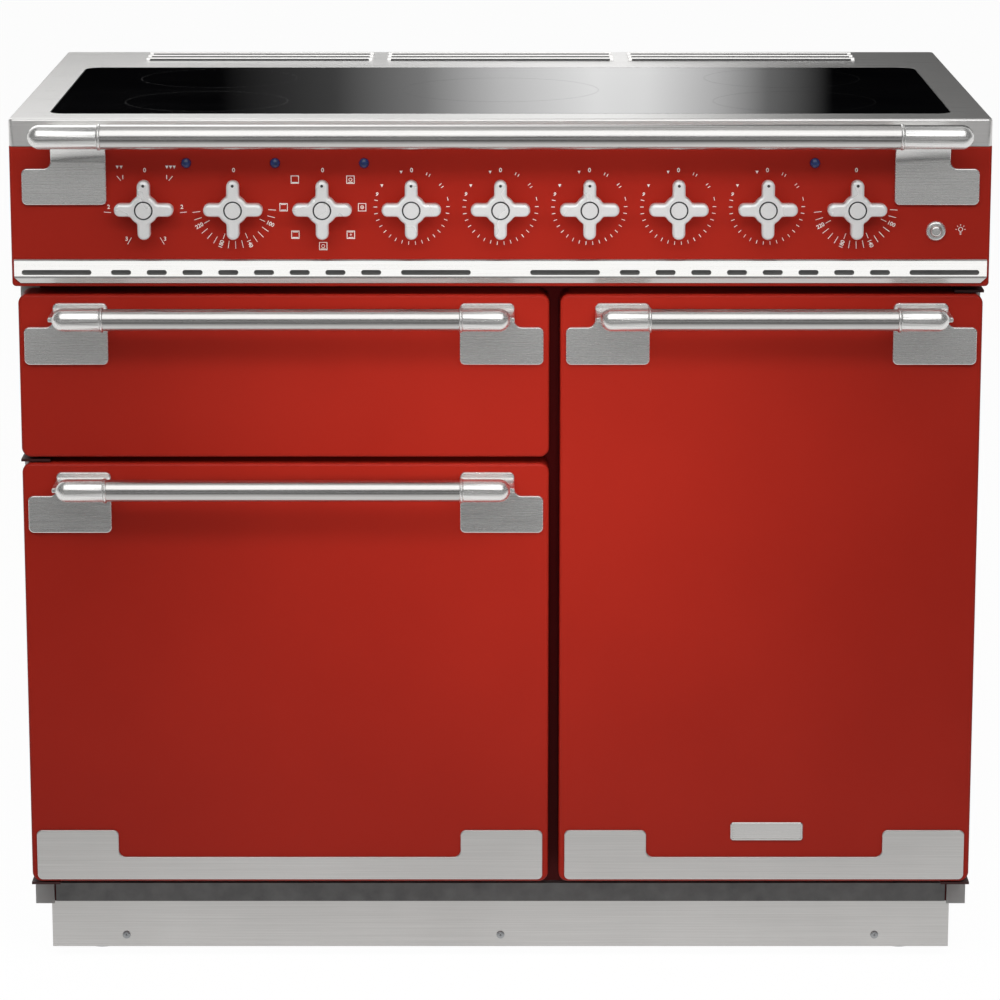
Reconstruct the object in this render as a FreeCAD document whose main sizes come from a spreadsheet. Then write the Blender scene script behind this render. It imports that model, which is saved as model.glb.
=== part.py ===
import FreeCAD, Part
import math
import os
from types import SimpleNamespace

import Sketcher

# Induction range cooker: an enamelled carcass with three cavities and three doors,
# a control panel with cross knobs and a towel rail, and a steel hob trim round the glass.
# X runs across the cooker, -Y is the front and Z is up. The origin lies on the floor
# below the middle of the whole outline.

SIZES = {
    # Whole cooker
    "hob_width": 994.0,
    "hob_depth": 600.0,
    "worktop_height": 910.0,
    "steel": 2.0,
    "seat_gap": 0.3,
    "overrun": 5.0,
    # Hob trim and glass
    "hob_lip": 28.0,
    "hob_corner": 5.0,
    "hob_edge": 2.5,
    "glass_side_margin": 37.0,
    "glass_length": 405.0,
    "glass_front_margin": 41.0,
    "glass_thickness": 5.0,
    "glass_corner": 17.0,
    "glass_edge": 0.8,
    "glass_clearance": 0.4,
    "louvre_length": 255.0,
    "louvre_width": 8.0,
    "louvre_pitch": 26.5,
    "louvre_group_pitch": 272.0,
    "louvre_rear_margin": 30.0,
    "louvre_hood_height": 3.0,
    "hob_tray_rim": 20.0,
    "hob_tray_depth": 32.0,
    "coil_large": 105.0,
    "coil_small": 85.0,
    "coil_hole": 25.0,
    "coil_carrier_height": 12.0,
    "coil_winding_height": 9.0,
    "coil_carrier_margin": 4.0,
    "power_unit_width": 300.0,
    "power_unit_depth": 260.0,
    "power_unit_height": 60.0,
    "power_unit_from_centre": 230.0,
    "power_unit_wall": 2.5,
    # Control panel
    "panel_height": 143.5,
    "panel_corner": 4.0,
    "panel_edge": 3.0,
    "panel_top_flange": 25.0,
    "knob_side_margin": 137.0,
    "knob_drop": 62.0,
    "knob_running_gap": 1.0,
    "knob_collar_radius": 11.5,
    "knob_collar_length": 13.0,
    "knob_arm_reach": 30.0,
    "knob_arm_width": 13.0,
    "knob_arm_thickness": 11.0,
    "knob_tip_radius": 6.3,
    "knob_hub_radius": 15.0,
    "knob_blend": 3.5,
    "knob_edge": 3.2,
    "knob_groove_radius": 9.5,
    "knob_groove_depth": 1.5,
    "knob_disc_radius": 8.0,
    "knob_disc_height": 1.0,
    "knob_disc_edge": 0.6,
    "knob_dot_radius": 1.5,
    "knob_dot_depth": 0.8,
    "knob_dot_inset": 5.0,
    "shaft_radius": 3.0,
    "shaft_clearance": 0.05,
    "shaft_length": 22.0,
    "shaft_hole_clearance": 1.5,
    "switch_width": 36.0,
    "switch_depth": 30.0,
    "lamp_radius": 5.4,
    "lamp_stem_radius": 4.0,
    "lamp_stem_length": 14.0,
    "lamp_drop": 17.0,
    "lamp_offset": 42.0,
    "light_button_inset": 55.4,
    "light_button_drop": 86.0,
    "button_radius": 5.8,
    "button_reach": 7.0,
    "button_bezel_radius": 10.2,
    "button_bezel_height": 4.0,
    "button_bezel_dome": 3.0,
    "button_clearance": 0.3,
    "button_stem_radius": 3.0,
    "button_travel": 3.0,
    "bezel_neck_radius": 8.0,
    "bezel_neck_length": 14.0,
    "button_switch_width": 18.0,
    "button_switch_depth": 16.0,
    # Vent strip
    "strip_end_margin": 3.0,
    "strip_rise": 4.1,
    "strip_height": 24.4,
    "strip_thickness": 4.0,
    "strip_lip": 5.0,
    "strip_end_chamfer": 6.0,
    "strip_slot_height": 5.2,
    "strip_slot_rise": 11.1,
    "strip_short_slot": 20.4,
    "strip_short_first": 131.4,
    "strip_short_end_gap": 65.5,
    "strip_long_slot": 70.8,
    "strip_inner_centre": 65.6,
    "strip_outer_inset": 46.0,
    "vent_window_margin": 4.0,
    # Rail and handles
    "rail_reach": 55.0,
    "rail_radius": 12.5,
    "rail_axis_drop": 11.3,
    "rail_wall": 1.5,
    "rail_plate_margin": 12.6,
    "rail_plate_drop": 59.2,
    "rail_plate_height": 37.0,
    "rail_cap_length": 73.0,
    "rail_cap_radius": 12.1,
    "rail_bend": 30.0,
    "handle_reach": 52.0,
    "handle_radius": 11.2,
    "handle_below_door_top": 17.5,
    "handle_wall": 1.5,
    "handle_plate_margin": 6.0,
    "handle_plate_height": 39.0,
    "handle_neck_top": 8.5,
    "handle_neck_height": 25.0,
    "handle_cap_length": 52.0,
    "handle_cap_radius": 11.7,
    "handle_bend": 5.0,
    "bracket_width": 85.6,
    "bracket_neck": 56.0,
    "bracket_thickness": 5.0,
    "bracket_corner": 5.5,
    "bracket_notch": 7.5,
    "bracket_spigot": 8.0,
    "bracket_ring_height": 1.2,
    "bracket_ring_width": 3.0,
    "bracket_bevel": 1.2,
    # Doors
    "door_setback": 12.0,
    "door_depth": 40.0,
    "door_rear_gap": 5.0,
    "door_corner": 10.0,
    "door_edge": 3.5,
    "door_sheet": 2.0,
    "door_side_margin": 4.0,
    "door_middle": 55.5,
    "door_middle_gap": 11.0,
    "door_bottom": 101.5,
    "grill_door_gap": 6.4,
    "door_top_gap": 10.0,
    "liner_sheet": 2.0,
    "liner_recess": 1.0,
    "liner_clearance": 0.3,
    "plug_inset": 12.0,
    "plug_reach": 4.0,
    "plug_corner": 14.0,
    "plug_edge": 1.5,
    "kick_block_width": 86.0,
    "kick_block_height": 54.0,
    "kick_strip_height": 24.7,
    "kick_bottom_margin": 3.2,
    "kick_thickness": 3.0,
    "seal_width": 9.0,
    "seal_gap": 2.0,
    "hinge_inset": 14.0,
    "hinge_setback": 10.0,
    "hinge_pin_radius": 3.5,
    "hinge_pin_length": 16.0,
    "hinge_pin_clearance": 0.05,
    "hinge_bush_radius": 6.0,
    "hinge_bush_length": 12.0,
    "hinge_plate": 2.5,
    "hinge_plate_width": 30.0,
    "hinge_plate_gap": 1.4,
    "grill_hinge_setback": 7.0,
    "grill_hinge_rise": 7.0,
    "grill_arm_inset": 16.0,
    "grill_arm_width": 6.0,
    "grill_arm_eye": 4.7,
    "grill_arm_slot_gap": 1.5,
    "grill_pin_radius": 2.5,
    # Carcass
    "side_margin": 2.0,
    "side_bottom": 63.0,
    "side_flange": 20.0,
    "carcass_bottom": 66.0,
    "frame_rise": 21.5,
    "tray_rim": 25.0,
    "back_inset": 2.0,
    # Cavities
    "main_opening_side_margin": 55.5,
    "main_opening_low_margin": 38.5,
    "main_opening_top_margin": 60.0,
    "tall_opening_side_margin": 51.0,
    "tall_opening_low_margin": 34.5,
    "tall_opening_top_margin": 36.5,
    "grill_opening_low_margin": 29.6,
    "grill_opening_top_margin": 28.5,
    "oven_cavity_depth": 430.0,
    "grill_cavity_depth": 390.0,
    "cavity_sheet": 2.0,
    "cavity_flange": 12.0,
    "cavity_corner": 16.0,
    "shelf_wire": 3.0,
    "shelf_rim_wire": 4.0,
    "shelf_depth": 360.0,
    "shelf_front_gap": 20.0,
    "ladder_wire": 3.0,
    "ladder_rung_offset": 4.8,
    "ladder_pitch": 60.0,
    "ladder_margin": 40.0,
    "fan_radius": 70.0,
    "fan_depth": 26.0,
    "fan_blade_thickness": 1.5,
    "fan_blade_width": 18.0,
    "fan_disc": 2.0,
    "fan_hub_radius": 9.0,
    "fan_shaft_radius": 4.0,
    "fan_gap": 6.0,
    "fan_clearance": 0.05,
    "fan_cover_width": 230.0,
    "fan_cover_height": 230.0,
    "fan_cover_depth": 42.0,
    "fan_grille_radius": 55.0,
    "fan_grille_inner_radius": 18.0,
    "fan_grille_slot": 16.0,
    "fan_grille_inner_slot": 4.0,
    "fan_motor_radius": 35.0,
    "fan_motor_length": 40.0,
    "grill_element_wire": 3.5,
    "grill_element_margin": 45.0,
    "grill_element_pitch": 44.0,
    "grill_element_drop": 16.0,
    "grill_pan_margin": 12.0,
    "grill_pan_height": 32.0,
    "grill_pan_sheet": 1.5,
    "grill_pan_rim": 8.0,
    "grill_pan_depth": 330.0,
    "grill_runner_height": 14.0,
    "grill_runner_width": 8.0,
    "grill_runner_ledge": 6.0,
    # Plinth, feet and rollers
    "plinth_side_margin": 18.0,
    "plinth_bottom": 12.0,
    "plinth_top": 66.0,
    "plinth_setback": 66.0,
    "plinth_return": 30.0,
    "plinth_screw_inset": 79.0,
    "plinth_screw_height": 25.0,
    "plinth_screw_shank": 1.8,
    "foot_side_margin": 65.0,
    "foot_setback": 120.0,
    "foot_pad_radius": 20.0,
    "foot_pad_height": 8.0,
    "foot_stem_radius": 6.0,
    "foot_stem_top": 84.0,
    "foot_nut_width": 20.0,
    "foot_nut_height": 8.0,
    "foot_bush_radius": 12.0,
    "foot_bush_length": 30.0,
    "foot_clearance": 0.08,
    "roller_radius": 25.0,
    "roller_width": 24.0,
    "roller_rear_margin": 70.0,
    "roller_axle_radius": 4.0,
    "roller_side_gap": 1.0,
    "roller_fork_sheet": 3.0,
    "roller_fork_width": 34.0,
    "roller_edge": 3.0,
    # Rear
    "terminal_width": 110.0,
    "terminal_height": 80.0,
    "terminal_depth": 32.0,
    "terminal_wall": 2.5,
    "gland_radius": 11.0,
    "gland_length": 14.0,
    "gland_bore": 6.0,
    "rear_vent_length": 120.0,
    "rear_vent_height": 6.0,
    "rear_vent_pitch": 18.0,
    "rear_vent_from_centre": 250.0,
    "rear_vent_drop": 90.0,
}

# Counts and shares
KNOBS = 9
KNOB_ARMS = 4
SHORT_SLOTS = 8
LOUVRE_ROWS = 3
REAR_VENT_ROWS = 5
SHELF_BARS = 15
FAN_BLADES = 16
GRILLE_SLOTS = 10
ELEMENT_RUNS = 8
FULL_TURN = 360
HALF_TURN = 180
HEX_STEP = 60
NEAR = 0.01
coil_side_share = 0.333
coil_row_share = 0.25
hood_slope_share = 0.25
main_door_share = 0.7185
half_step = 0.5

os.makedirs("parts", exist_ok=True)
doc = FreeCAD.newDocument("range_cooker")
sheet = doc.addObject("Spreadsheet::Sheet", "Sizes")
for row, (alias, number) in enumerate(SIZES.items(), 1):
    sheet.set(f"A{row}", alias)
    sheet.set(f"B{row}", str(number))
    sheet.setAlias(f"B{row}", alias)
doc.recompute()


class Size:
    """A length that carries its formula in the sheet beside its value."""

    def __init__(self, text, value):
        self.text = text
        self.value = value

    def __add__(self, other):
        return Size(f"({self.text} + {formula(other)})", self.value + amount(other))

    def __radd__(self, other):
        return Size(f"({formula(other)} + {self.text})", amount(other) + self.value)

    def __sub__(self, other):
        return Size(f"({self.text} - {formula(other)})", self.value - amount(other))

    def __rsub__(self, other):
        return Size(f"({formula(other)} - {self.text})", amount(other) - self.value)

    def __mul__(self, share):
        return Size(f"({self.text} * {formula(share)})", self.value * amount(share))

    __rmul__ = __mul__

    def __truediv__(self, share):
        return Size(f"({self.text} / {formula(share)})", self.value / amount(share))

    def __neg__(self):
        return Size(f"(-1 * {self.text})", -self.value)


def formula(item):
    return item.text if isinstance(item, Size) else repr(item)


def amount(item):
    return item.value if isinstance(item, Size) else item


S = SimpleNamespace(**{name: Size(f"Sizes.{name}", value) for name, value in SIZES.items()})
VECTORS = {"x": FreeCAD.Vector(1, 0, 0), "y": FreeCAD.Vector(0, 1, 0), "z": FreeCAD.Vector(0, 0, 1)}
NODES = []


# Places that several pieces share

panel_y = (S.rail_reach + S.rail_cap_radius + S.bracket_ring_height - S.hob_depth) / 2
door_y = panel_y + S.door_setback
door_rear_y = door_y + S.door_depth
frame_y = door_rear_y + S.door_rear_gap
cavity_y = frame_y + S.steel
rear_y = panel_y + S.hob_depth
panel_top = S.worktop_height - S.hob_lip
panel_bottom = panel_top - S.panel_height
side_x = S.hob_width / 2 - S.side_margin
door_left = S.door_side_margin - S.hob_width / 2
door_right = S.hob_width / 2 - S.door_side_margin
left_door_edge = S.door_middle - S.door_middle_gap / 2
right_door_edge = S.door_middle + S.door_middle_gap / 2
door_top = panel_bottom - S.door_top_gap
main_door_top = S.door_bottom + (door_top - S.door_bottom) * main_door_share
grill_door_bottom = main_door_top + S.grill_door_gap
left_middle = (door_left + left_door_edge) / 2
right_middle = (right_door_edge + door_right) / 2
knob_pitch = (S.hob_width - S.knob_side_margin * 2) / (KNOBS - 1)
knob_places = [knob_pitch * (number - (KNOBS - 1) / 2) for number in range(KNOBS)]
knob_height = panel_top - S.knob_drop
lamp_height = panel_top - S.lamp_drop
button_x = S.hob_width / 2 - S.light_button_inset
button_height = panel_top - S.light_button_drop
strip_bottom = panel_bottom + S.strip_rise
slot_height = strip_bottom + S.strip_slot_rise
outer_slot = S.hob_width / 2 - S.strip_outer_inset
glass_width = S.hob_width - S.glass_side_margin * 2
glass_front = panel_y + S.glass_front_margin
glass_rear = glass_front + S.glass_length
glass_bottom = S.worktop_height - S.glass_thickness
hob_tray_floor = glass_bottom - S.hob_tray_depth + S.steel
main_width = left_door_edge - door_left - S.main_opening_side_margin * 2
tall_width = door_right - right_door_edge - S.tall_opening_side_margin * 2
main_bottom = S.door_bottom + S.main_opening_low_margin
main_height = main_door_top - S.main_opening_top_margin - main_bottom
tall_bottom = S.door_bottom + S.tall_opening_low_margin
tall_height = door_top - S.tall_opening_top_margin - tall_bottom
grill_bottom = grill_door_bottom + S.grill_opening_low_margin
grill_height = door_top - S.grill_opening_top_margin - grill_bottom
CAVITIES = {
    "main_oven": (left_middle, main_width, main_bottom, main_height, S.oven_cavity_depth),
    "tall_oven": (right_middle, tall_width, tall_bottom, tall_height, S.oven_cavity_depth),
    "grill": (left_middle, main_width, grill_bottom, grill_height, S.grill_cavity_depth),
}
DOORS = {
    "main_door": (door_left, left_door_edge, S.door_bottom, main_door_top),
    "tall_door": (right_door_edge, door_right, S.door_bottom, door_top),
    "grill_door": (door_left, left_door_edge, grill_door_bottom, door_top),
}


# Ways to make and place a shape

def place(item, corner):
    for axis, value in zip("xyz", corner):
        item.setExpression(f"Placement.Base.{axis}", formula(value))


def keep(item, name):
    """Note a finished piece under the name that its file gets."""
    item.Label = name
    NODES.append(item)
    return item


def box(name, low, high):
    item = doc.addObject("Part::Box", name)
    for prop, start, end in zip(("Length", "Width", "Height"), low, high):
        item.setExpression(prop, formula(end - start))
    place(item, low)
    return item


def rod(name, start, axis, radius, length):
    item = doc.addObject("Part::Cylinder", name)
    item.setExpression("Radius", formula(radius))
    item.setExpression("Height", formula(length))
    item.Placement = FreeCAD.Placement(FreeCAD.Vector(), FreeCAD.Rotation(VECTORS["z"], VECTORS[axis]))
    place(item, start)
    return item


def fuse(name, items):
    item = doc.addObject("Part::MultiFuse", name)
    item.Shapes = items
    item.Refine = True
    return item


def cut(name, base, tool):
    item = doc.addObject("Part::Cut", name)
    item.Base = base
    item.Tool = tool
    return item


def group(name, items):
    item = doc.addObject("Part::Compound", name)
    item.Links = items
    return item


def new_body(name, corner=(0, 0, 0)):
    body = doc.addObject("PartDesign::Body", name)
    place(body, corner)
    return body


def origin_part(body, role):
    return next(item for item in body.Origin.OriginFeatures if item.Role == role)


def new_sketch(body, name, role, level, shift=(0, 0)):
    """A sketch on a plane of the body's origin, at a level along that plane's own axis."""
    sketch = body.newObject("Sketcher::SketchObject", f"{body.Name}_{name}")
    sketch.AttachmentSupport = [(origin_part(body, role), "")]
    sketch.MapMode = "FlatFace"
    height = -level if role == "XZ_Plane" else level
    for axis, value in zip("xyz", (shift[0], shift[1], height)):
        sketch.setExpression(f"AttachmentOffset.Base.{axis}", formula(value))
    return sketch


def fix_size(sketch, kind, places, value):
    number = sketch.addConstraint(Sketcher.Constraint(kind, *places, amount(value)))
    sketch.setExpression(f"Constraints[{number}]", formula(value))


def fix_point(sketch, geometry, end, point):
    for kind, axis, value in (("DistanceX", -2, point[0]), ("DistanceY", -1, point[1])):
        if isinstance(value, Size):
            fix_size(sketch, kind, (geometry, end), value)
        else:
            sketch.addConstraint(Sketcher.Constraint("PointOnObject", geometry, end, axis))


def flat(point):
    return FreeCAD.Vector(amount(point[0]), amount(point[1]), 0)


def polygon(sketch, points):
    first = sketch.GeometryCount
    count = len(points)
    for number in range(count):
        line = Part.LineSegment(flat(points[number]), flat(points[(number + 1) % count]))
        sketch.addGeometry(line, False)
    for number in range(count):
        joint = Sketcher.Constraint("Coincident", first + number, 2, first + (number + 1) % count, 1)
        sketch.addConstraint(joint)
        fix_point(sketch, first + number, 1, points[number])


def rectangle(sketch, low, high):
    polygon(sketch, [low, (high[0], low[1]), high, (low[0], high[1])])


def circle(sketch, centre, radius):
    ring = Part.Circle(flat(centre), VECTORS["z"], amount(radius))
    number = sketch.addGeometry(ring, False)
    fix_point(sketch, number, 3, centre)
    fix_size(sketch, "Radius", (number,), radius)


def slot(sketch, centre, length, height):
    """A slot with round ends that lies along the sketch's first axis."""
    first = sketch.GeometryCount
    radius = height / 2
    reach = length / 2 - radius
    quarter = math.pi / 2
    left = (centre[0] - reach, centre[1])
    right = (centre[0] + reach, centre[1])
    up = VECTORS["y"] * amount(radius)
    sketch.addGeometry(Part.LineSegment(flat(left) + up, flat(right) + up), False)
    sketch.addGeometry(Part.LineSegment(flat(right) - up, flat(left) - up), False)
    for middle, start in ((right, -quarter), (left, quarter)):
        ring = Part.Circle(flat(middle), VECTORS["z"], amount(radius))
        sketch.addGeometry(Part.ArcOfCircle(ring, start, start + math.pi), False)
    for line, line_end, arc, arc_end in ((0, 2, 2, 2), (0, 1, 3, 1), (1, 1, 2, 1), (1, 2, 3, 2)):
        joint = Sketcher.Constraint("Tangent", first + line, line_end, first + arc, arc_end)
        sketch.addConstraint(joint)
    for arc, middle in ((2, right), (3, left)):
        fix_point(sketch, first + arc, 3, middle)
    fix_size(sketch, "Radius", (first + 2,), radius)


def pad(body, sketch, length, name):
    feature = body.newObject("PartDesign::Pad", f"{body.Name}_{name}")
    feature.Profile = sketch
    feature.setExpression("Length", formula(length))
    sketch.Visibility = False
    return feature


def pocket(body, sketch, length, name):
    """Cut a sketch into the body, and stop if the cut takes nothing away."""
    doc.recompute()
    before = body.Tip.Shape.Volume
    feature = body.newObject("PartDesign::Pocket", f"{body.Name}_{name}")
    feature.Profile = sketch
    feature.setExpression("Length", formula(length))
    doc.recompute()
    if feature.Shape.Volume >= before:
        raise ValueError(f"{feature.Name} cuts nothing")
    return feature


def revolve(body, sketch, name, axis="H_Axis"):
    feature = body.newObject("PartDesign::Revolution", f"{body.Name}_{name}")
    feature.Profile = sketch
    feature.ReferenceAxis = (sketch, [axis])
    feature.Angle = FULL_TURN
    return feature


def fillet(body, picks, radius, name, kind="Fillet"):
    """Round or chamfer the edges of the body's last feature that a test picks."""
    doc.recompute()
    base = body.Tip
    names = [f"Edge{number}" for number, edge in enumerate(base.Shape.Edges, 1) if picks(edge)]
    if not names:
        raise ValueError(f"{body.Name}_{name} finds no edge")
    feature = body.newObject(f"PartDesign::{kind}", f"{body.Name}_{name}")
    feature.Base = (base, names)
    feature.setExpression("Radius" if kind == "Fillet" else "Size", formula(radius))
    return feature


def repeat(body, originals, role, length, count, name, backward=False):
    feature = body.newObject("PartDesign::LinearPattern", f"{body.Name}_{name}")
    feature.Originals = originals
    feature.Direction = (origin_part(body, role), [""])
    feature.Reversed = backward
    feature.setExpression("Length", formula(length))
    feature.Occurrences = count
    body.Tip = feature
    return feature


def spin(body, originals, role, count, name):
    feature = body.newObject("PartDesign::PolarPattern", f"{body.Name}_{name}")
    feature.Originals = originals
    feature.Axis = (origin_part(body, role), [""])
    feature.Angle = FULL_TURN
    feature.Occurrences = count
    body.Tip = feature
    return feature


# Tests that pick edges

def straight(edge, axis):
    if not isinstance(edge.Curve, Part.Line):
        return False
    return abs(abs(edge.Curve.Direction.dot(VECTORS[axis])) - 1) < NEAR


def middle_of(edge):
    return edge.valueAt((edge.FirstParameter + edge.LastParameter) / 2)


def upright(axis):
    """Edges along one axis."""
    return lambda edge: straight(edge, axis)


def at_level(axis, level):
    """Edges that lie wholly in one plane across an axis."""
    def check(edge):
        points = [vertex.Point for vertex in edge.Vertexes] + [middle_of(edge)]
        return all(abs(getattr(point, axis) - amount(level)) < NEAR for point in points)
    return check


def corner_spots(low, high):
    return [(x, y) for x in (low[0], high[0]) for y in (low[1], high[1])]


def upright_at(axis, spots):
    """Edges along one axis that pass through spots given in the other two axes."""
    others = [name for name in "xyz" if name != axis]

    def check(edge):
        point = middle_of(edge)
        near = any(all(abs(getattr(point, name) - amount(value)) < NEAR
                       for name, value in zip(others, spot)) for spot in spots)
        return straight(edge, axis) and near
    return check


# Hob

def make_hob_trim():
    body = new_body("hob_trim")
    half = S.hob_width / 2
    outline = new_sketch(body, "outline", "XY_Plane", panel_top)
    rectangle(outline, (-half, panel_y), (half, rear_y))
    pad(body, outline, S.hob_lip, "block")
    fillet(body, upright("z"), S.hob_corner, "corners")
    fillet(body, at_level("z", S.worktop_height), S.hob_edge, "top_edge")
    inside = new_sketch(body, "inside", "XY_Plane", S.worktop_height - S.steel)
    rectangle(inside, (S.steel - half, panel_y + S.steel), (half - S.steel, rear_y - S.steel))
    pocket(body, inside, S.hob_lip, "underside")
    inner_half = half - S.steel
    spots = corner_spots((-inner_half, panel_y + S.steel), (inner_half, rear_y - S.steel))
    fillet(body, upright_at("z", spots), S.hob_corner - S.steel, "inner_corners")
    window = new_sketch(body, "window", "XY_Plane", S.worktop_height + S.overrun)
    glass_half = glass_width / 2 + S.glass_clearance
    low = (-glass_half, glass_front - S.glass_clearance)
    high = (glass_half, glass_rear + S.glass_clearance)
    rectangle(window, low, high)
    pocket(body, window, S.overrun + S.steel * 2, "glass_window")
    fillet(body, upright_at("z", corner_spots(low, high)), S.glass_corner, "window_corners")
    first_row = rear_y - S.louvre_rear_margin
    for number, share in enumerate((-1, 0, 1)):
        middle = S.louvre_group_pitch * share
        hood = new_sketch(body, f"hood_{number}", "YZ_Plane", middle - S.louvre_length / 2)
        hood_low = first_row - S.louvre_width / 2
        slope = S.louvre_width * hood_slope_share
        polygon(hood, [(hood_low, S.worktop_height - S.steel),
                       (hood_low + S.louvre_width, S.worktop_height - S.steel),
                       (hood_low + S.louvre_width - slope, S.worktop_height + S.louvre_hood_height),
                       (hood_low + slope, S.worktop_height + S.louvre_hood_height)])
        ridge = pad(body, hood, S.louvre_length, f"ridge_{number}")
        doc.recompute()
        repeat(body, [ridge], "Y_Axis", S.louvre_pitch * (LOUVRE_ROWS - 1), LOUVRE_ROWS,
               f"ridges_{number}", True)
    return keep(body, "hob_trim")


def make_glass():
    body = new_body("hob_glass")
    outline = new_sketch(body, "outline", "XY_Plane", glass_bottom)
    rectangle(outline, (-glass_width / 2, glass_front), (glass_width / 2, glass_rear))
    pad(body, outline, S.glass_thickness, "plate")
    fillet(body, upright("z"), S.glass_corner - S.glass_clearance, "corners")
    fillet(body, at_level("z", S.worktop_height), S.glass_edge, "polished_edge", "Chamfer")
    keep(body, "hob_glass")


def make_hob_tray():
    body = new_body("hob_tray")
    half = glass_width / 2 + S.hob_tray_rim / 2
    low = (-half, glass_front - S.hob_tray_rim / 2)
    high = (half, glass_rear + S.hob_tray_rim / 2)
    floor = glass_bottom - S.hob_tray_depth
    top = S.worktop_height - S.steel
    outline = new_sketch(body, "outline", "XY_Plane", floor)
    rectangle(outline, low, high)
    pad(body, outline, top - floor, "block")
    ledge = new_sketch(body, "ledge", "XY_Plane", top)
    rectangle(ledge, (-glass_width / 2 - S.glass_clearance, glass_front - S.glass_clearance),
              (glass_width / 2 + S.glass_clearance, glass_rear + S.glass_clearance))
    pocket(body, ledge, top - glass_bottom, "glass_ledge")
    inside = new_sketch(body, "inside", "XY_Plane", glass_bottom)
    rectangle(inside, (low[0] + S.hob_tray_rim, low[1] + S.hob_tray_rim),
              (high[0] - S.hob_tray_rim, high[1] - S.hob_tray_rim))
    pocket(body, inside, S.hob_tray_depth - S.steel, "well")
    keep(body, "hob_tray")


def coil_places():
    middle = (glass_front + glass_rear) / 2
    side = glass_width * coil_side_share
    step = S.glass_length * coil_row_share
    places = [(side * share, middle + step * row, S.coil_small) for share in (-1, 1) for row in (-1, 1)]
    return places + [(0, middle, S.coil_large)]


def make_coils():
    coils = []
    for number, (x, y, radius) in enumerate(coil_places()):
        carrier = rod(f"coil_carrier_{number}", (x, y, hob_tray_floor), "z",
                      radius + S.coil_carrier_margin, S.coil_carrier_height)
        winding = rod(f"coil_winding_{number}", (x, y, hob_tray_floor + S.coil_carrier_height), "z",
                      radius, S.coil_winding_height)
        hole = rod(f"coil_hole_{number}", (x, y, hob_tray_floor - S.overrun), "z", S.coil_hole,
                   S.coil_carrier_height + S.coil_winding_height + S.overrun * 2)
        coils.append(cut(f"coil_{number}", fuse(f"coil_stack_{number}", [carrier, winding]), hole))
    keep(group("induction_coils", coils), "induction_coils")


def make_power_units():
    top = glass_bottom - S.hob_tray_depth
    middle = (glass_front + glass_rear) / 2
    units = []
    for number, share in enumerate((-1, 1)):
        x = S.power_unit_from_centre * share
        low = (x - S.power_unit_width / 2, middle - S.power_unit_depth / 2, top - S.power_unit_height)
        high = (x + S.power_unit_width / 2, middle + S.power_unit_depth / 2, top)
        case = box(f"power_case_{number}", low, high)
        wall = S.power_unit_wall
        inside = box(f"power_inside_{number}", (low[0] + wall, low[1] + wall, low[2] + wall),
                     (high[0] - wall, high[1] - wall, high[2] + S.overrun))
        units.append(cut(f"power_unit_{number}", case, inside))
    keep(group("power_units", units), "power_units")


# Control panel

def make_panel():
    body = new_body("control_panel")
    half = S.hob_width / 2
    depth = frame_y - panel_y
    outline = new_sketch(body, "outline", "XZ_Plane", frame_y)
    rectangle(outline, (-half, panel_bottom), (half, panel_top))
    pad(body, outline, depth, "block")
    inside = new_sketch(body, "inside", "XZ_Plane", panel_y + S.steel)
    low = (S.steel - half, panel_bottom + S.steel)
    high = (half - S.steel, panel_top - S.steel)
    rectangle(inside, low, high)
    pocket(body, inside, depth, "hollow")
    spots = [(low[0], low[1]), (high[0], low[1])]
    fillet(body, upright_at("y", spots), S.panel_corner - S.steel, "inner_corners")
    flange = new_sketch(body, "top_flange", "XY_Plane", panel_top + S.overrun)
    rectangle(flange, (low[0], panel_y + S.panel_top_flange), (high[0], frame_y + S.overrun))
    pocket(body, flange, S.overrun + S.steel * 2, "top_flange_cut")
    lower = [(-half, panel_bottom), (half, panel_bottom)]
    fillet(body, upright_at("y", lower), S.panel_corner, "lower_corners")
    fillet(body, at_level("y", panel_y), S.panel_edge, "front_edge")
    through = S.steel + S.overrun * 2
    first = new_sketch(body, "shaft_hole", "XZ_Plane", panel_y - S.overrun)
    circle(first, (knob_places[0], knob_height), S.shaft_radius + S.shaft_hole_clearance)
    hole = pocket(body, first, through, "shaft_hole_cut")
    repeat(body, [hole], "X_Axis", knob_pitch * (KNOBS - 1), KNOBS, "shaft_holes")
    others = new_sketch(body, "small_holes", "XZ_Plane", panel_y - S.overrun)
    for x in lamp_places():
        circle(others, (x, lamp_height), S.lamp_stem_radius + S.seat_gap)
    circle(others, (button_x, button_height),
           S.bezel_neck_radius + S.seat_gap)
    pocket(body, others, through, "small_hole_cuts")
    windows = new_sketch(body, "vent_windows", "XZ_Plane", panel_y - S.overrun)
    window_low = slot_height - S.strip_slot_height / 2
    reach = S.strip_long_slot / 2 - S.vent_window_margin
    for share in (-1, 1):
        rectangle(windows, ((S.strip_inner_centre - reach) * share, window_low),
                  ((outer_slot + reach) * share, window_low + S.strip_slot_height))
    pocket(body, windows, through, "vent_window_cuts")
    keep(body, "control_panel")


def lamp_places():
    return [x + S.lamp_offset for x in knob_places[:3]] + [knob_places[-1] - S.lamp_offset]


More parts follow.
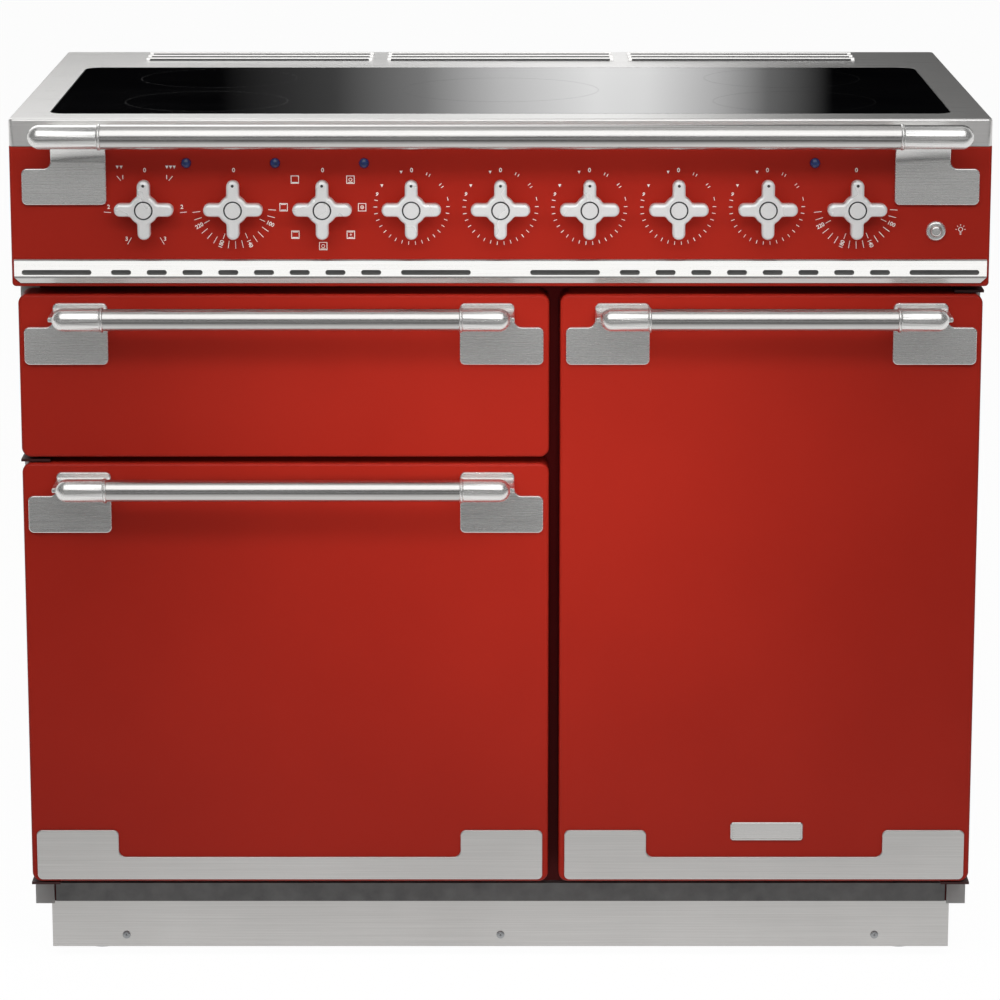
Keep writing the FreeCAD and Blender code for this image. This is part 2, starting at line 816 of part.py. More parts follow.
def make_lamps():
    lamps = []
    for number, x in enumerate(lamp_places()):
        stem = rod(f"lamp_stem_{number}", (x, panel_y, lamp_height), "y",
                   S.lamp_stem_radius, S.lamp_stem_length)
        dome = doc.addObject("Part::Sphere", f"lamp_dome_{number}")
        dome.setExpression("Radius", formula(S.lamp_radius))
        place(dome, (x, panel_y, lamp_height))
        behind = box(f"lamp_rear_{number}",
                     (x - S.lamp_radius * 2, panel_y, lamp_height - S.lamp_radius * 2),
                     (x + S.lamp_radius * 2, panel_y + S.lamp_radius * 2,
                      lamp_height + S.lamp_radius * 2))
        front = cut(f"lamp_front_{number}", dome, behind)
        lamps.append(fuse(f"lamp_{number}", [front, stem]))
    keep(group("indicator_lamps", lamps), "indicator_lamps")


def make_switches():
    y = panel_y + S.steel
    half = S.switch_width / 2
    switches = []
    for number, x in enumerate(knob_places):
        block = box(f"switch_block_{number}", (x - half, y, knob_height - half),
                    (x + half, y + S.switch_depth, knob_height + half))
        bore = rod(f"switch_bore_{number}", (x, y - S.overrun, knob_height), "y",
                   S.shaft_radius + S.shaft_clearance, S.shaft_length + S.overrun)
        switches.append(cut(f"switch_{number}", block, bore))
    return switches


def make_knob(name, x):
    """A cross knob about its own shaft: arms by a round pattern, blended into a grooved hub."""
    body = new_body(name, (x, panel_y, knob_height))
    rear = -S.knob_running_gap
    arm_rear = rear - S.knob_collar_length
    arm_front = arm_rear - S.knob_arm_thickness
    arm = new_sketch(body, "arm", "XZ_Plane", arm_rear)
    half = S.knob_arm_width / 2
    polygon(arm, [(-half, 0), (half, 0), (half, S.knob_arm_reach), (-half, S.knob_arm_reach)])
    first_arm = pad(body, arm, S.knob_arm_thickness, "arm_pad")
    doc.recompute()
    spin(body, [first_arm], "Y_Axis", KNOB_ARMS, "arms")
    hub = new_sketch(body, "hub", "XZ_Plane", arm_rear)
    circle(hub, (0, 0), S.knob_hub_radius)
    pad(body, hub, S.knob_arm_thickness, "hub_pad")

    def on_hub(edge):
        point = middle_of(edge)
        return straight(edge, "y") and abs(math.hypot(point.x, point.z) - amount(S.knob_hub_radius)) < NEAR

    fillet(body, on_hub, S.knob_blend, "blends")
    tips = [(a * half, b * S.knob_arm_reach) for a in (-1, 1) for b in (-1, 1)]
    tips += [(z, x_) for x_, z in tips]
    fillet(body, upright_at("y", tips), S.knob_tip_radius, "round_tips")
    fillet(body, at_level("y", arm_front), S.knob_edge, "front_edges")
    collar = new_sketch(body, "collar", "XZ_Plane", rear)
    circle(collar, (0, 0), S.knob_collar_radius)
    pad(body, collar, S.knob_collar_length, "collar_pad")
    groove = new_sketch(body, "groove", "XZ_Plane", arm_front - S.overrun)
    circle(groove, (0, 0), S.knob_groove_radius)
    pocket(body, groove, S.overrun + S.knob_groove_depth, "groove_cut")
    disc = new_sketch(body, "disc", "XZ_Plane", arm_front + S.knob_groove_depth)
    circle(disc, (0, 0), S.knob_disc_radius)
    pad(body, disc, S.knob_groove_depth + S.knob_disc_height, "disc_pad")
    fillet(body, at_level("y", arm_front - S.knob_disc_height), S.knob_disc_edge, "disc_edge")
    shaft = new_sketch(body, "shaft", "XZ_Plane", rear + S.shaft_length)
    circle(shaft, (0, 0), S.shaft_radius)
    pad(body, shaft, S.shaft_length, "shaft_pad")
    dot = new_sketch(body, "dot", "XZ_Plane", arm_front - S.overrun)
    circle(dot, (0, S.knob_arm_reach - S.knob_dot_inset), S.knob_dot_radius)
    pocket(body, dot, S.overrun + S.knob_dot_depth, "dot_cut")
    keep(body, name)


def make_light_button():
    x = button_x
    z = button_height
    bore = S.button_radius + S.button_clearance
    neck_end = panel_y + S.bezel_neck_length
    body = new_body("light_button_bezel")
    neck = new_sketch(body, "neck", "XZ_Plane", neck_end)
    circle(neck, (x, z), S.bezel_neck_radius)
    circle(neck, (x, z), bore)
    pad(body, neck, S.bezel_neck_length, "neck_pad")
    face = new_sketch(body, "face", "XZ_Plane", panel_y)
    circle(face, (x, z), S.button_bezel_radius)
    circle(face, (x, z), bore)
    pad(body, face, S.button_bezel_height, "face_pad")
    front = panel_y - S.button_bezel_height

    def outer_edge(edge):
        wide = isinstance(edge.Curve, Part.Circle) and edge.Curve.Radius > amount(bore) + NEAR
        return wide and at_level("y", front)(edge)

    fillet(body, outer_edge, S.button_bezel_dome, "dome")
    keep(body, "light_button_bezel")
    button = new_body("light_button", (x, panel_y, z))
    head = new_sketch(button, "head", "XZ_Plane", S.button_travel * 2)
    circle(head, (0, 0), S.button_radius)
    pad(button, head, S.button_reach + S.button_travel * 2, "head_pad")
    fillet(button, at_level("y", -S.button_reach), S.button_radius / 2, "crown")
    stem = new_sketch(button, "stem", "XZ_Plane", neck_end - panel_y)
    circle(stem, (0, 0), S.button_stem_radius)
    pad(button, stem, S.bezel_neck_length, "stem_pad")
    keep(button, "light_button")
    half = S.button_switch_width / 2
    block = box("light_switch_block", (x - half, neck_end, z - half),
                (x + half, neck_end + S.button_switch_depth, z + half))
    well = rod("light_switch_well", (x, neck_end - S.overrun, z), "y",
               S.button_stem_radius + S.button_clearance,
               S.overrun + S.button_travel + S.button_clearance)
    return cut("light_switch", block, well)


def make_vent_strip():
    body = new_body("vent_strip")
    top = strip_bottom + S.strip_height
    front = panel_y - S.strip_thickness
    half = S.hob_width / 2 - S.strip_end_margin
    section = new_sketch(body, "section", "YZ_Plane", -half)
    polygon(section, [(panel_y, strip_bottom), (panel_y, top), (front, top),
                      (front, strip_bottom + S.strip_lip), (front + S.strip_thickness / 2,
                                                              strip_bottom)])
    pad(body, section, half * 2, "bar")
    corners = new_sketch(body, "ends", "XZ_Plane", front - S.overrun)
    for share in (-1, 1):
        end = half * share
        polygon(corners, [(end, strip_bottom - NEAR), (end, strip_bottom + S.strip_end_chamfer),
                          (end - S.strip_end_chamfer * share, strip_bottom - NEAR)])
    pocket(body, corners, S.strip_thickness + S.overrun * 2, "end_cuts")
    through = S.strip_thickness + S.overrun * 2
    row_length = outer_slot - S.strip_short_end_gap - S.strip_short_first
    short = new_sketch(body, "short_slot", "XZ_Plane", front - S.overrun)
    slot(short, (S.strip_short_first, slot_height), S.strip_short_slot, S.strip_slot_height)
    first = pocket(body, short, through, "short_slot_cut")
    repeat(body, [first], "X_Axis", row_length, SHORT_SLOTS, "short_slots")
    doc.recompute()
    other = new_sketch(body, "other_slot", "XZ_Plane", front - S.overrun)
    slot(other, (-S.strip_short_first, slot_height), S.strip_short_slot, S.strip_slot_height)
    second = pocket(body, other, through, "other_slot_cut")
    repeat(body, [second], "X_Axis", row_length, SHORT_SLOTS, "other_slots", True)
    doc.recompute()
    long_slots = new_sketch(body, "long_slots", "XZ_Plane", front - S.overrun)
    for share in (-1, 1):
        for centre in (S.strip_inner_centre, outer_slot):
            slot(long_slots, (centre * share, slot_height), S.strip_long_slot,
                 S.strip_slot_height)
    pocket(body, long_slots, through, "long_slot_cuts")
    keep(body, "vent_strip")


# Rail and door handles

def make_bracket(name, middle, side, spot):
    """A bent bracket: an L-shaped foot plate, a neck that bends forward, and a round end cap.

    spot holds the outer edge from the middle, the face that the plate lies on, the tube's axis
    and reach, the plate's bottom and height, the top of the plate's upright part and whether it
    stands above the arm as a tab, the arm's top, the cap's length and radius, and the radius of
    the spigot that holds the tube.
    """
    body = new_body(name)
    thick = S.bracket_thickness
    outer = middle + side * spot["outer"]
    inner = middle + side * (spot["outer"] - S.bracket_width)
    neck = inner + side * S.bracket_neck
    face = spot["face"]
    bottom = spot["bottom"]
    shoulder = bottom + spot["height"]
    axis_y = face - spot["reach"]
    low_x, high_x = (inner, neck) if side > 0 else (neck, inner)
    arm = new_sketch(body, "arm", "YZ_Plane", low_x)
    arm_low = shoulder - S.bracket_corner * 2
    polygon(arm, [(face, arm_low), (face, spot["top"]), (axis_y, spot["top"]),
                  (axis_y, spot["top"] - thick), (face - thick, spot["top"] - thick),
                  (face - thick, arm_low)])
    pad(body, arm, high_x - low_x, "arm_pad")
    if not spot["tab"]:
        fillet(body, upright_at("x", [(face, spot["top"])]), spot["bend"] + thick, "outer_bend")
    fillet(body, upright_at("x", [(face - thick, spot["top"] - thick)]), spot["bend"], "inner_bend")
    plate = new_sketch(body, "plate", "XZ_Plane", face)
    tall = spot["plate_top"]
    polygon(plate, [(inner, bottom), (outer, bottom), (outer, shoulder), (neck, shoulder),
                    (neck, tall), (inner, tall)])
    pad(body, plate, thick, "plate_pad")
    fillet(body, upright_at("y", [(neck, shoulder)]), S.bracket_notch - NEAR, "notch")
    corners = [(inner, bottom), (outer, bottom), (outer, shoulder)]
    if spot["tab"]:
        corners += [(inner, tall), (neck, tall)]
    fillet(body, upright_at("y", corners), S.bracket_corner, "corners")
    cap_tip = inner + side * spot["cap_length"]
    nose = cap_tip - side * spot["cap_radius"]
    cap = new_sketch(body, "cap", "XY_Plane", spot["axis"], (0, axis_y))
    radius = spot["cap_radius"]
    polygon_with_nose(cap, inner, nose, cap_tip, radius)
    revolve(body, cap, "cap_turn")
    ring = new_sketch(body, "ring", "XY_Plane", spot["axis"], (0, axis_y))
    ring_end = inner + side * S.bracket_ring_width
    spigot_end = inner - side * S.bracket_spigot
    polygon(ring, [(spigot_end, 0), (ring_end, 0), (ring_end, radius + S.bracket_ring_height),
                   (inner, radius + S.bracket_ring_height), (inner, spot["spigot_radius"]),
                   (spigot_end, spot["spigot_radius"])])
    revolve(body, ring, "ring_turn")
    return body


def make_bracket_pair(prefix, middle, spot):
    pair = [make_bracket(f"{prefix}_bracket_{name}", middle, side, spot)
            for name, side in (("left", -1), ("right", 1))]
    keep(group(f"{prefix}_brackets", pair), f"{prefix}_brackets")


def polygon_with_nose(sketch, start, nose, tip, radius):
    """Half of a bullet: a straight barrel whose end runs out in a quarter round."""
    points = [(tip, 0), (start, 0), (start, radius), (nose, radius)]
    for number in range(3):
        sketch.addGeometry(Part.LineSegment(flat(points[number]), flat(points[number + 1])), False)
    forward = amount(tip) > amount(nose)
    ring = Part.Circle(flat((nose, 0)), VECTORS["z"], amount(radius))
    quarter = math.pi / 2
    start_angle = 0 if forward else quarter
    sketch.addGeometry(Part.ArcOfCircle(ring, start_angle, start_angle + quarter), False)
    tip_end, barrel_end = (1, 2) if forward else (2, 1)
    for number in range(2):
        sketch.addConstraint(Sketcher.Constraint("Coincident", number, 2, number + 1, 1))
    sketch.addConstraint(Sketcher.Constraint("Coincident", 2, 2, 3, barrel_end))
    sketch.addConstraint(Sketcher.Constraint("Coincident", 0, 1, 3, tip_end))
    for number in range(3):
        fix_point(sketch, number, 1, points[number])
    fix_point(sketch, 2, 2, points[3])
    sketch.addConstraint(Sketcher.Constraint("PointOnObject", 3, 3, -1))


def make_tube(name, middle, half, axis_y, axis_z, radius, wall):
    outer = rod(f"{name}_outside", (middle - half, axis_y, axis_z), "x", radius, half * 2)
    bore = rod(f"{name}_bore", (middle - half - S.overrun, axis_y, axis_z), "x",
               radius - wall, (half + S.overrun) * 2)
    keep(cut(name, outer, bore), name)


def make_rail():
    outer = S.hob_width / 2 - S.rail_plate_margin
    axis = S.worktop_height - S.rail_axis_drop
    bottom = panel_top - S.rail_plate_drop
    spot = {"outer": outer, "face": panel_y, "reach": S.rail_reach, "axis": axis,
            "bottom": bottom, "height": S.rail_plate_height, "tab": False,
            "plate_top": bottom + S.rail_plate_height + S.bracket_notch,
            "top": axis + S.bracket_thickness / 2, "bend": S.rail_bend,
            "cap_length": S.rail_cap_length, "cap_radius": S.rail_cap_radius,
            "spigot_radius": S.rail_radius - S.rail_wall - S.seat_gap}
    make_bracket_pair("rail", 0, spot)
    make_tube("rail_tube", 0, outer - S.bracket_width, panel_y - S.rail_reach, axis,
              S.rail_radius, S.rail_wall)


def make_handle(door):
    left, right, _, top = DOORS[door]
    middle = (left + right) / 2
    outer = (right - left) / 2 - S.handle_plate_margin
    axis = top - S.handle_below_door_top
    neck_top = top - S.handle_neck_top
    spot = {"outer": outer, "face": door_y, "reach": S.handle_reach, "axis": axis,
            "bottom": neck_top - S.handle_neck_height - S.handle_plate_height,
            "height": S.handle_plate_height, "plate_top": neck_top, "tab": True,
            "top": axis + S.bracket_thickness / 2, "bend": S.handle_bend,
            "cap_length": S.handle_cap_length, "cap_radius": S.handle_cap_radius,
            "spigot_radius": S.handle_radius - S.handle_wall - S.seat_gap}
    prefix = door.replace("_door", "_handle")
    make_bracket_pair(prefix, middle, spot)
    make_tube(f"{prefix}_tube", middle, outer - S.bracket_width, door_y - S.handle_reach, axis,
              S.handle_radius, S.handle_wall)


# Doors

def make_door_panel(door):
    left, right, bottom, top = DOORS[door]
    body = new_body(f"{door}_panel")
    outline = new_sketch(body, "outline", "XZ_Plane", door_rear_y)
    rectangle(outline, (left, bottom), (right, top))
    pad(body, outline, S.door_depth, "block")
    low = (left + S.door_sheet, bottom + S.door_sheet)
    high = (right - S.door_sheet, top - S.door_sheet)
    inside = new_sketch(body, "inside", "XZ_Plane", door_y + S.door_sheet)
    rectangle(inside, low, high)
    pocket(body, inside, S.door_depth, "hollow")
    fillet(body, upright_at("y", corner_spots(low, high)), S.door_corner - S.door_sheet, "inner_corners")
    outer = corner_spots((left, bottom), (right, top))
    fillet(body, upright_at("y", outer), S.door_corner, "corners")
    fillet(body, at_level("y", door_y), S.door_edge, "front_edge")
    if door == "grill_door":
        add_grill_pins(body)
    else:
        add_hinge_bushes(body, door)
    keep(body, f"{door}_panel")


def add_hinge_bushes(body, door):
    """Bushes inside the lower and upper rim, bored for the carcass's hinge pins."""
    _, _, bottom, top = DOORS[door]
    spot = (hinge_x(door), door_y + S.hinge_setback)
    for name, level in (("lower", bottom + S.door_sheet), ("upper", top - S.door_sheet -
                                                           S.hinge_bush_length)):
        bush = new_sketch(body, f"{name}_bush", "XY_Plane", level)
        circle(bush, spot, S.hinge_bush_radius)
        pad(body, bush, S.hinge_bush_length, f"{name}_bush_pad")
    bore = new_sketch(body, "hinge_bore", "XY_Plane", top + S.overrun)
    circle(bore, spot, S.hinge_pin_radius + S.hinge_pin_clearance)
    pocket(body, bore, top - bottom + S.overrun * 2, "hinge_bore_cut")


def add_grill_pins(body):
    """Slots that let the carcass's arms in, and the pins that turn in the arms' eyes."""
    left, right, bottom, _ = DOORS["grill_door"]
    slots = new_sketch(body, "hinge_slots", "XZ_Plane", door_y + S.door_sheet)
    for low_x, high_x in grill_slot_spans():
        rectangle(slots, (low_x, bottom - S.overrun), (high_x, bottom + grill_slot_height()))
    pocket(body, slots, S.door_depth, "hinge_slot_cuts")
    spot = (door_y + S.grill_hinge_setback, bottom + S.grill_hinge_rise)
    spans = grill_slot_spans()
    ends = ((left + S.door_sheet / 2, spans[0][1] + S.grill_arm_slot_gap),
            (spans[1][0] - S.grill_arm_slot_gap, right - S.door_sheet / 2))
    for number, (low_x, high_x) in enumerate(ends):
        pin = new_sketch(body, f"pin_{number}", "YZ_Plane", low_x)
        circle(pin, spot, S.grill_pin_radius)
        pad(body, pin, high_x - low_x, f"pin_pad_{number}")


def hinge_x(door):
    left, right, _, _ = DOORS[door]
    return left + S.hinge_inset if door == "main_door" else right - S.hinge_inset


def grill_arm_spans():
    left, right, _, _ = DOORS["grill_door"]
    return [(left + S.grill_arm_inset, left + S.grill_arm_inset + S.grill_arm_width),
            (right - S.grill_arm_inset - S.grill_arm_width, right - S.grill_arm_inset)]


def grill_slot_spans():
    return [(low - S.grill_arm_slot_gap, high + S.grill_arm_slot_gap) for low, high in grill_arm_spans()]


def grill_slot_height():
    return S.grill_hinge_rise + S.grill_arm_eye + S.grill_arm_slot_gap


def make_door_liner(door, cavity):
    """The inner panel: a plate inside the door's rim with a pressed plug for the opening."""
    left, right, bottom, top = DOORS[door]
    middle, width, opening_bottom, height, _ = CAVITIES[cavity]
    rim = S.door_sheet + S.liner_clearance
    rear = door_rear_y - S.liner_recess
    body = new_body(f"{door}_liner")
    outline = new_sketch(body, "outline", "XZ_Plane", rear)
    rectangle(outline, (left + rim, bottom + rim), (right - rim, top - rim))
    pad(body, outline, S.liner_sheet, "plate")
    fillet(body, upright("y"), S.door_corner - S.door_sheet, "corners")
    plug_rear = frame_y + S.plug_reach
    half = width / 2 - S.plug_inset
    low = (middle - half, opening_bottom + S.plug_inset)
    high = (middle + half, opening_bottom + height - S.plug_inset)
    plug = new_sketch(body, "plug", "XZ_Plane", plug_rear)
    rectangle(plug, low, high)
    pad(body, plug, plug_rear - rear, "plug_pad")
    hollow = new_sketch(body, "hollow", "XZ_Plane", rear - S.liner_sheet - S.overrun)
    sheet_low = (low[0] + S.liner_sheet, low[1] + S.liner_sheet)
    sheet_high = (high[0] - S.liner_sheet, high[1] - S.liner_sheet)
    rectangle(hollow, sheet_low, sheet_high)
    pocket(body, hollow, plug_rear - rear + S.overrun, "hollow_cut")
    fillet(body, upright_at("y", corner_spots(sheet_low, sheet_high)), S.plug_corner - S.liner_sheet,
           "hollow_corners")
    fillet(body, upright_at("y", corner_spots(low, high)), S.plug_corner, "plug_corners")
    fillet(body, at_level("y", plug_rear), S.plug_edge, "plug_edge")
    if door == "grill_door":
        slots = new_sketch(body, "hinge_slots", "XZ_Plane", rear - S.liner_sheet - S.overrun)
        for low_x, high_x in grill_slot_spans():
            rectangle(slots, (low_x, bottom), (high_x, bottom + grill_slot_height()))
        pocket(body, slots, S.liner_sheet + S.overrun * 2, "hinge_slot_cuts")
    keep(body, f"{door}_liner")


def make_kick_trim(door):
    left, right, bottom, _ = DOORS[door]
    low = bottom + S.kick_bottom_margin
    first = left + S.handle_plate_margin
    last = right - S.handle_plate_margin
    body = new_body(door.replace("_door", "_kick_trim"))
    outline = new_sketch(body, "outline", "XZ_Plane", door_y)
    strip = low + S.kick_strip_height
    block = low + S.kick_block_height
    polygon(outline, [(first, low), (last, low), (last, block), (last - S.kick_block_width, block),
                      (last - S.kick_block_width, strip), (first + S.kick_block_width, strip),
                      (first + S.kick_block_width, block), (first, block)])
    pad(body, outline, S.kick_thickness, "plate")
    notches = [(last - S.kick_block_width, strip), (first + S.kick_block_width, strip)]
    fillet(body, upright_at("y", notches), S.bracket_notch, "notches")
    corners = [(first, low), (last, low), (last, block), (last - S.kick_block_width, block),
               (first + S.kick_block_width, block), (first, block)]
    fillet(body, upright_at("y", corners), S.bracket_corner, "corners")
    fillet(body, at_level("y", door_y - S.kick_thickness), S.bracket_bevel, "bevel")
    keep(body, door.replace("_door", "_kick_trim"))


def make_side_hinges(door):
    """Two plates on the carcass, each with the pin that one of the door's bushes turns on."""
    _, _, bottom, top = DOORS[door]
    x = hinge_x(door)
    y = door_y + S.hinge_setback
    half = S.hinge_plate_width / 2
    pin_start = {"lower": bottom - S.hinge_plate_gap, "upper": top + S.hinge_plate_gap}
    plates = []
    for name, level in pin_start.items():
        upper = name == "upper"
        plate_low = level if upper else level - S.hinge_plate
        plate = box(f"{door}_{name}_plate", (x - half, y - S.hinge_pin_radius * 2, plate_low),
                    (x + half, frame_y, plate_low + S.hinge_plate))
        pin_low = level - S.hinge_pin_length if upper else level
        pin = rod(f"{door}_{name}_pin", (x, y, pin_low), "z", S.hinge_pin_radius, S.hinge_pin_length)
        plates.append(fuse(f"{door}_{name}_hinge", [plate, pin]))
    return plates


def make_grill_hinges():
    """Two arms on the carcass with an eye each, for the pins of the grill door."""
    _, _, bottom, _ = DOORS["grill_door"]
    y = door_y + S.grill_hinge_setback
    z = bottom + S.grill_hinge_rise
    arms = []
    for number, (low_x, high_x) in enumerate(grill_arm_spans()):
        bar = box(f"grill_arm_bar_{number}", (low_x, y, z - S.grill_arm_eye),
                  (high_x, frame_y, z + S.grill_arm_eye))
        eye = rod(f"grill_arm_eye_{number}", (low_x, y, z), "x", S.grill_arm_eye, S.grill_arm_width)
        bore = rod(f"grill_arm_bore_{number}", (low_x - S.overrun, y, z), "x",
                   S.grill_pin_radius + S.hinge_pin_clearance, S.grill_arm_width + S.overrun * 2)
        arms.append(cut(f"grill_arm_{number}", fuse(f"grill_arm_solid_{number}", [bar, eye]), bore))
    return arms


# Carcass

def make_side_panel(name, side):
    body = new_body(name)
    outer = side_x * side
    inner = (side_x - S.steel) * side
    flange = (side_x - S.side_flange) * side
    section = new_sketch(body, "section", "XY_Plane", S.side_bottom)
    rear = rear_y - S.back_inset
    polygon(section, [(outer, frame_y), (outer, rear), (flange, rear), (flange, rear - S.steel),
                      (inner, rear - S.steel), (inner, frame_y + S.steel),
                      (flange, frame_y + S.steel), (flange, frame_y)])
    pad(body, section, S.worktop_height - S.steel - S.side_bottom, "sheet_pad")
    fillet(body, upright_at("z", [(outer, rear)]), S.hob_corner - S.steel / 2, "rear_corner")
    return body


def make_base_tray():
    body = new_body("base_tray")
    half = side_x - S.steel
    low_y = cavity_y
    high_y = rear_y - S.back_inset - S.steel
    outline = new_sketch(body, "outline", "XY_Plane", S.carcass_bottom)
    rectangle(outline, (-half, low_y), (half, high_y))
    pad(body, outline, S.tray_rim, "block")
    inside = new_sketch(body, "inside", "XY_Plane", S.carcass_bottom + S.tray_rim)
    rectangle(inside, (S.steel - half, low_y + S.steel), (half - S.steel, high_y - S.steel))
    pocket(body, inside, S.tray_rim - S.steel, "well")
    bushes = new_sketch(body, "foot_bushes", "XY_Plane", S.carcass_bottom - S.foot_bush_length)
    holes = new_sketch(body, "foot_holes", "XY_Plane", S.carcass_bottom + S.tray_rim)
    for x, y in foot_places():
        circle(bushes, (x, y), S.foot_bush_radius)
        circle(holes, (x, y), S.foot_stem_radius + S.foot_clearance)
    circle(holes, gland_place(), S.gland_radius + S.seat_gap)
    pad(body, bushes, S.foot_bush_length + S.steel / 2, "foot_bush_pads")
    pocket(body, holes, S.tray_rim + S.foot_bush_length + S.overrun, "foot_hole_cuts")
    keep(body, "base_tray")


def make_front_frame():
    body = new_body("front_frame")
    half = side_x - S.side_flange
    outline = new_sketch(body, "outline", "XZ_Plane", cavity_y)
    rectangle(outline, (-half, S.carcass_bottom), (half, panel_bottom + S.frame_rise))
    pad(body, outline, S.steel, "sheet_pad")
    openings = new_sketch(body, "openings", "XZ_Plane", frame_y - S.overrun)
    for middle, width, bottom, height, _ in CAVITIES.values():
        rectangle(openings, (middle - width / 2, bottom), (middle + width / 2, bottom + height))
    pocket(body, openings, S.steel + S.overrun * 2, "opening_cuts")
    spots = [(middle + width / 2 * a, bottom + height * b)
             for middle, width, bottom, height, _ in CAVITIES.values() for a in (-1, 1) for b in (0, 1)]
    fillet(body, upright_at("y", spots), S.cavity_corner, "opening_corners")
    keep(body, "front_frame")


def make_seal(name, cavity):
    middle, width, bottom, height, _ = CAVITIES[cavity]
    front = door_rear_y - S.liner_recess + S.seat_gap
    body = new_body(name)
    ring = new_sketch(body, "ring", "XZ_Plane", frame_y)
    half = width / 2 + S.seal_gap
    low = (middle - half, bottom - S.seal_gap)
    high = (middle + half, bottom + height + S.seal_gap)
    rectangle(ring, (low[0] - S.seal_width, low[1] - S.seal_width),
              (high[0] + S.seal_width, high[1] + S.seal_width))
    rectangle(ring, low, high)
    pad(body, ring, frame_y - front, "ring_pad")
    inner = [(x, z) for x in (low[0], high[0]) for z in (low[1], high[1])]
    outer = [(x + S.seal_width * a, z + S.seal_width * b)
             for x, a in ((low[0], -1), (high[0], 1)) for z, b in ((low[1], -1), (high[1], 1))]
    fillet(body, upright_at("y", inner), S.cavity_corner, "inner_corners")
    fillet(body, upright_at("y", outer), S.cavity_corner + S.seal_width, "outer_corners")
    return body


def make_cavity(cavity):
    middle, width, bottom, height, depth = CAVITIES[cavity]
    body = new_body(f"{cavity}_cavity")
    wall = S.cavity_sheet
    low = (middle - width / 2, bottom)
    high = (middle + width / 2, bottom + height)
    shell = new_sketch(body, "shell", "XZ_Plane", cavity_y + depth + wall)
    rectangle(shell, (low[0] - wall, low[1] - wall), (high[0] + wall, high[1] + wall))
    pad(body, shell, depth + wall, "shell_pad")
    hollow = new_sketch(body, "hollow", "XZ_Plane", cavity_y - S.overrun)
    rectangle(hollow, low, high)
    pocket(body, hollow, depth + S.overrun, "hollow_cut")
    fillet(body, upright_at("y", corner_spots(low, high)), S.cavity_corner, "inner_corners")
    outer = corner_spots((low[0] - wall, low[1] - wall), (high[0] + wall, high[1] + wall))
    fillet(body, upright_at("y", outer), S.cavity_corner + wall, "outer_corners")
    flange = new_sketch(body, "flange", "XZ_Plane", cavity_y + wall)
    reach = S.cavity_flange
    rectangle(flange, (low[0] - reach, low[1] - reach), (high[0] + reach, high[1] + reach))
    rectangle(flange, (low[0] - wall / 2, low[1] - wall / 2), (high[0] + wall / 2, high[1] + wall / 2))
    pad(body, flange, wall, "flange_pad")
    if cavity == "grill":
        add_pan_runners(body, low, high)
    else:
        hole = new_sketch(body, "shaft_hole", "XZ_Plane", cavity_y + depth - S.overrun)
        circle(hole, (middle, bottom + height / 2), S.fan_shaft_radius + S.seat_gap * 2)
        pocket(body, hole, wall + S.overrun * 2, "shaft_hole_cut")
    keep(body, f"{cavity}_cavity")


def make_back_panel():
    body = new_body("back_panel")
    half = side_x - S.side_flange
    rear = rear_y - S.back_inset
    outline = new_sketch(body, "outline", "XZ_Plane", rear)
    rectangle(outline, (-half, S.carcass_bottom), (half, S.worktop_height - S.steel))
    pad(body, outline, S.steel, "sheet_pad")
    for number, share in enumerate((-1, 1)):
        vent = new_sketch(body, f"vent_{number}", "XZ_Plane", rear - S.steel - S.overrun)
        slot(vent, (S.rear_vent_from_centre * share, S.worktop_height - S.rear_vent_drop),
             S.rear_vent_length, S.rear_vent_height)
        first = pocket(body, vent, S.steel + S.overrun * 2, f"vent_cut_{number}")
        repeat(body, [first], "Z_Axis", S.rear_vent_pitch * (REAR_VENT_ROWS - 1), REAR_VENT_ROWS,
               f"vents_{number}", True)
        doc.recompute()
    keep(body, "back_panel")


def gland_place():
    return right_middle, rear_y - S.back_inset - S.steel * 2 - S.terminal_depth / 2


def make_terminal():
    """The cable's terminal box on the tray floor, with its gland down through the floor."""
    x, y = gland_place()
    floor = S.carcass_bottom + S.steel
    low = (x - S.terminal_width / 2, y - S.terminal_depth / 2, floor)
    high = (x + S.terminal_width / 2, y + S.terminal_depth / 2, floor + S.terminal_height)
    shell = box("terminal_shell", low, high)
    wall = S.terminal_wall
    inside = box("terminal_inside", (low[0] + wall, low[1] + wall, low[2] + wall),
                 (high[0] - wall, high[1] + S.overrun, high[2] - wall))
    case = cut("terminal_case", shell, inside)
    gland_low = S.carcass_bottom - S.gland_length
    gland = rod("gland_nut", (x, y, gland_low), "z", S.gland_radius, floor + wall - gland_low)
    bore = rod("gland_bore", (x, y, gland_low - S.overrun), "z", S.gland_bore,
               floor + wall - gland_low + S.overrun * 2)
    keep(cut("terminal_box", fuse("terminal_solid", [case, gland]), bore), "terminal_box")


# Oven insides

def make_ladders(cavity):
    """Wire side frames that carry the shelves, one against each side wall."""
    middle, width, bottom, height, depth = CAVITIES[cavity]
    wire = S.ladder_wire
    frames = []
    front = cavity_y + S.ladder_margin
    back = cavity_y + depth - S.ladder_margin
    for side in (-1, 1):
        x = middle + (width / 2 - wire) * side
        rung_x = middle + (width / 2 - wire - S.ladder_rung_offset) * side
        wires = []
        for number, y in enumerate((front, back)):
            wires.append(rod(f"{cavity}_post_{side}_{number}", (x, y, bottom + S.ladder_margin), "z",
                             wire, height - S.ladder_margin * 2))
        for number in range(ladder_count(cavity)):
            z = bottom + S.ladder_margin + S.ladder_pitch * (number + half_step)
            wires.append(rod(f"{cavity}_rung_{side}_{number}", (rung_x, front, z), "y", wire,
                             back - front))
        frames.append(fuse(f"{cavity}_ladder_{side}", wires))
    return frames


def ladder_count(cavity):
    height = CAVITIES[cavity][3]
    return int((amount(height) - 2 * SIZES["ladder_margin"]) / SIZES["ladder_pitch"])


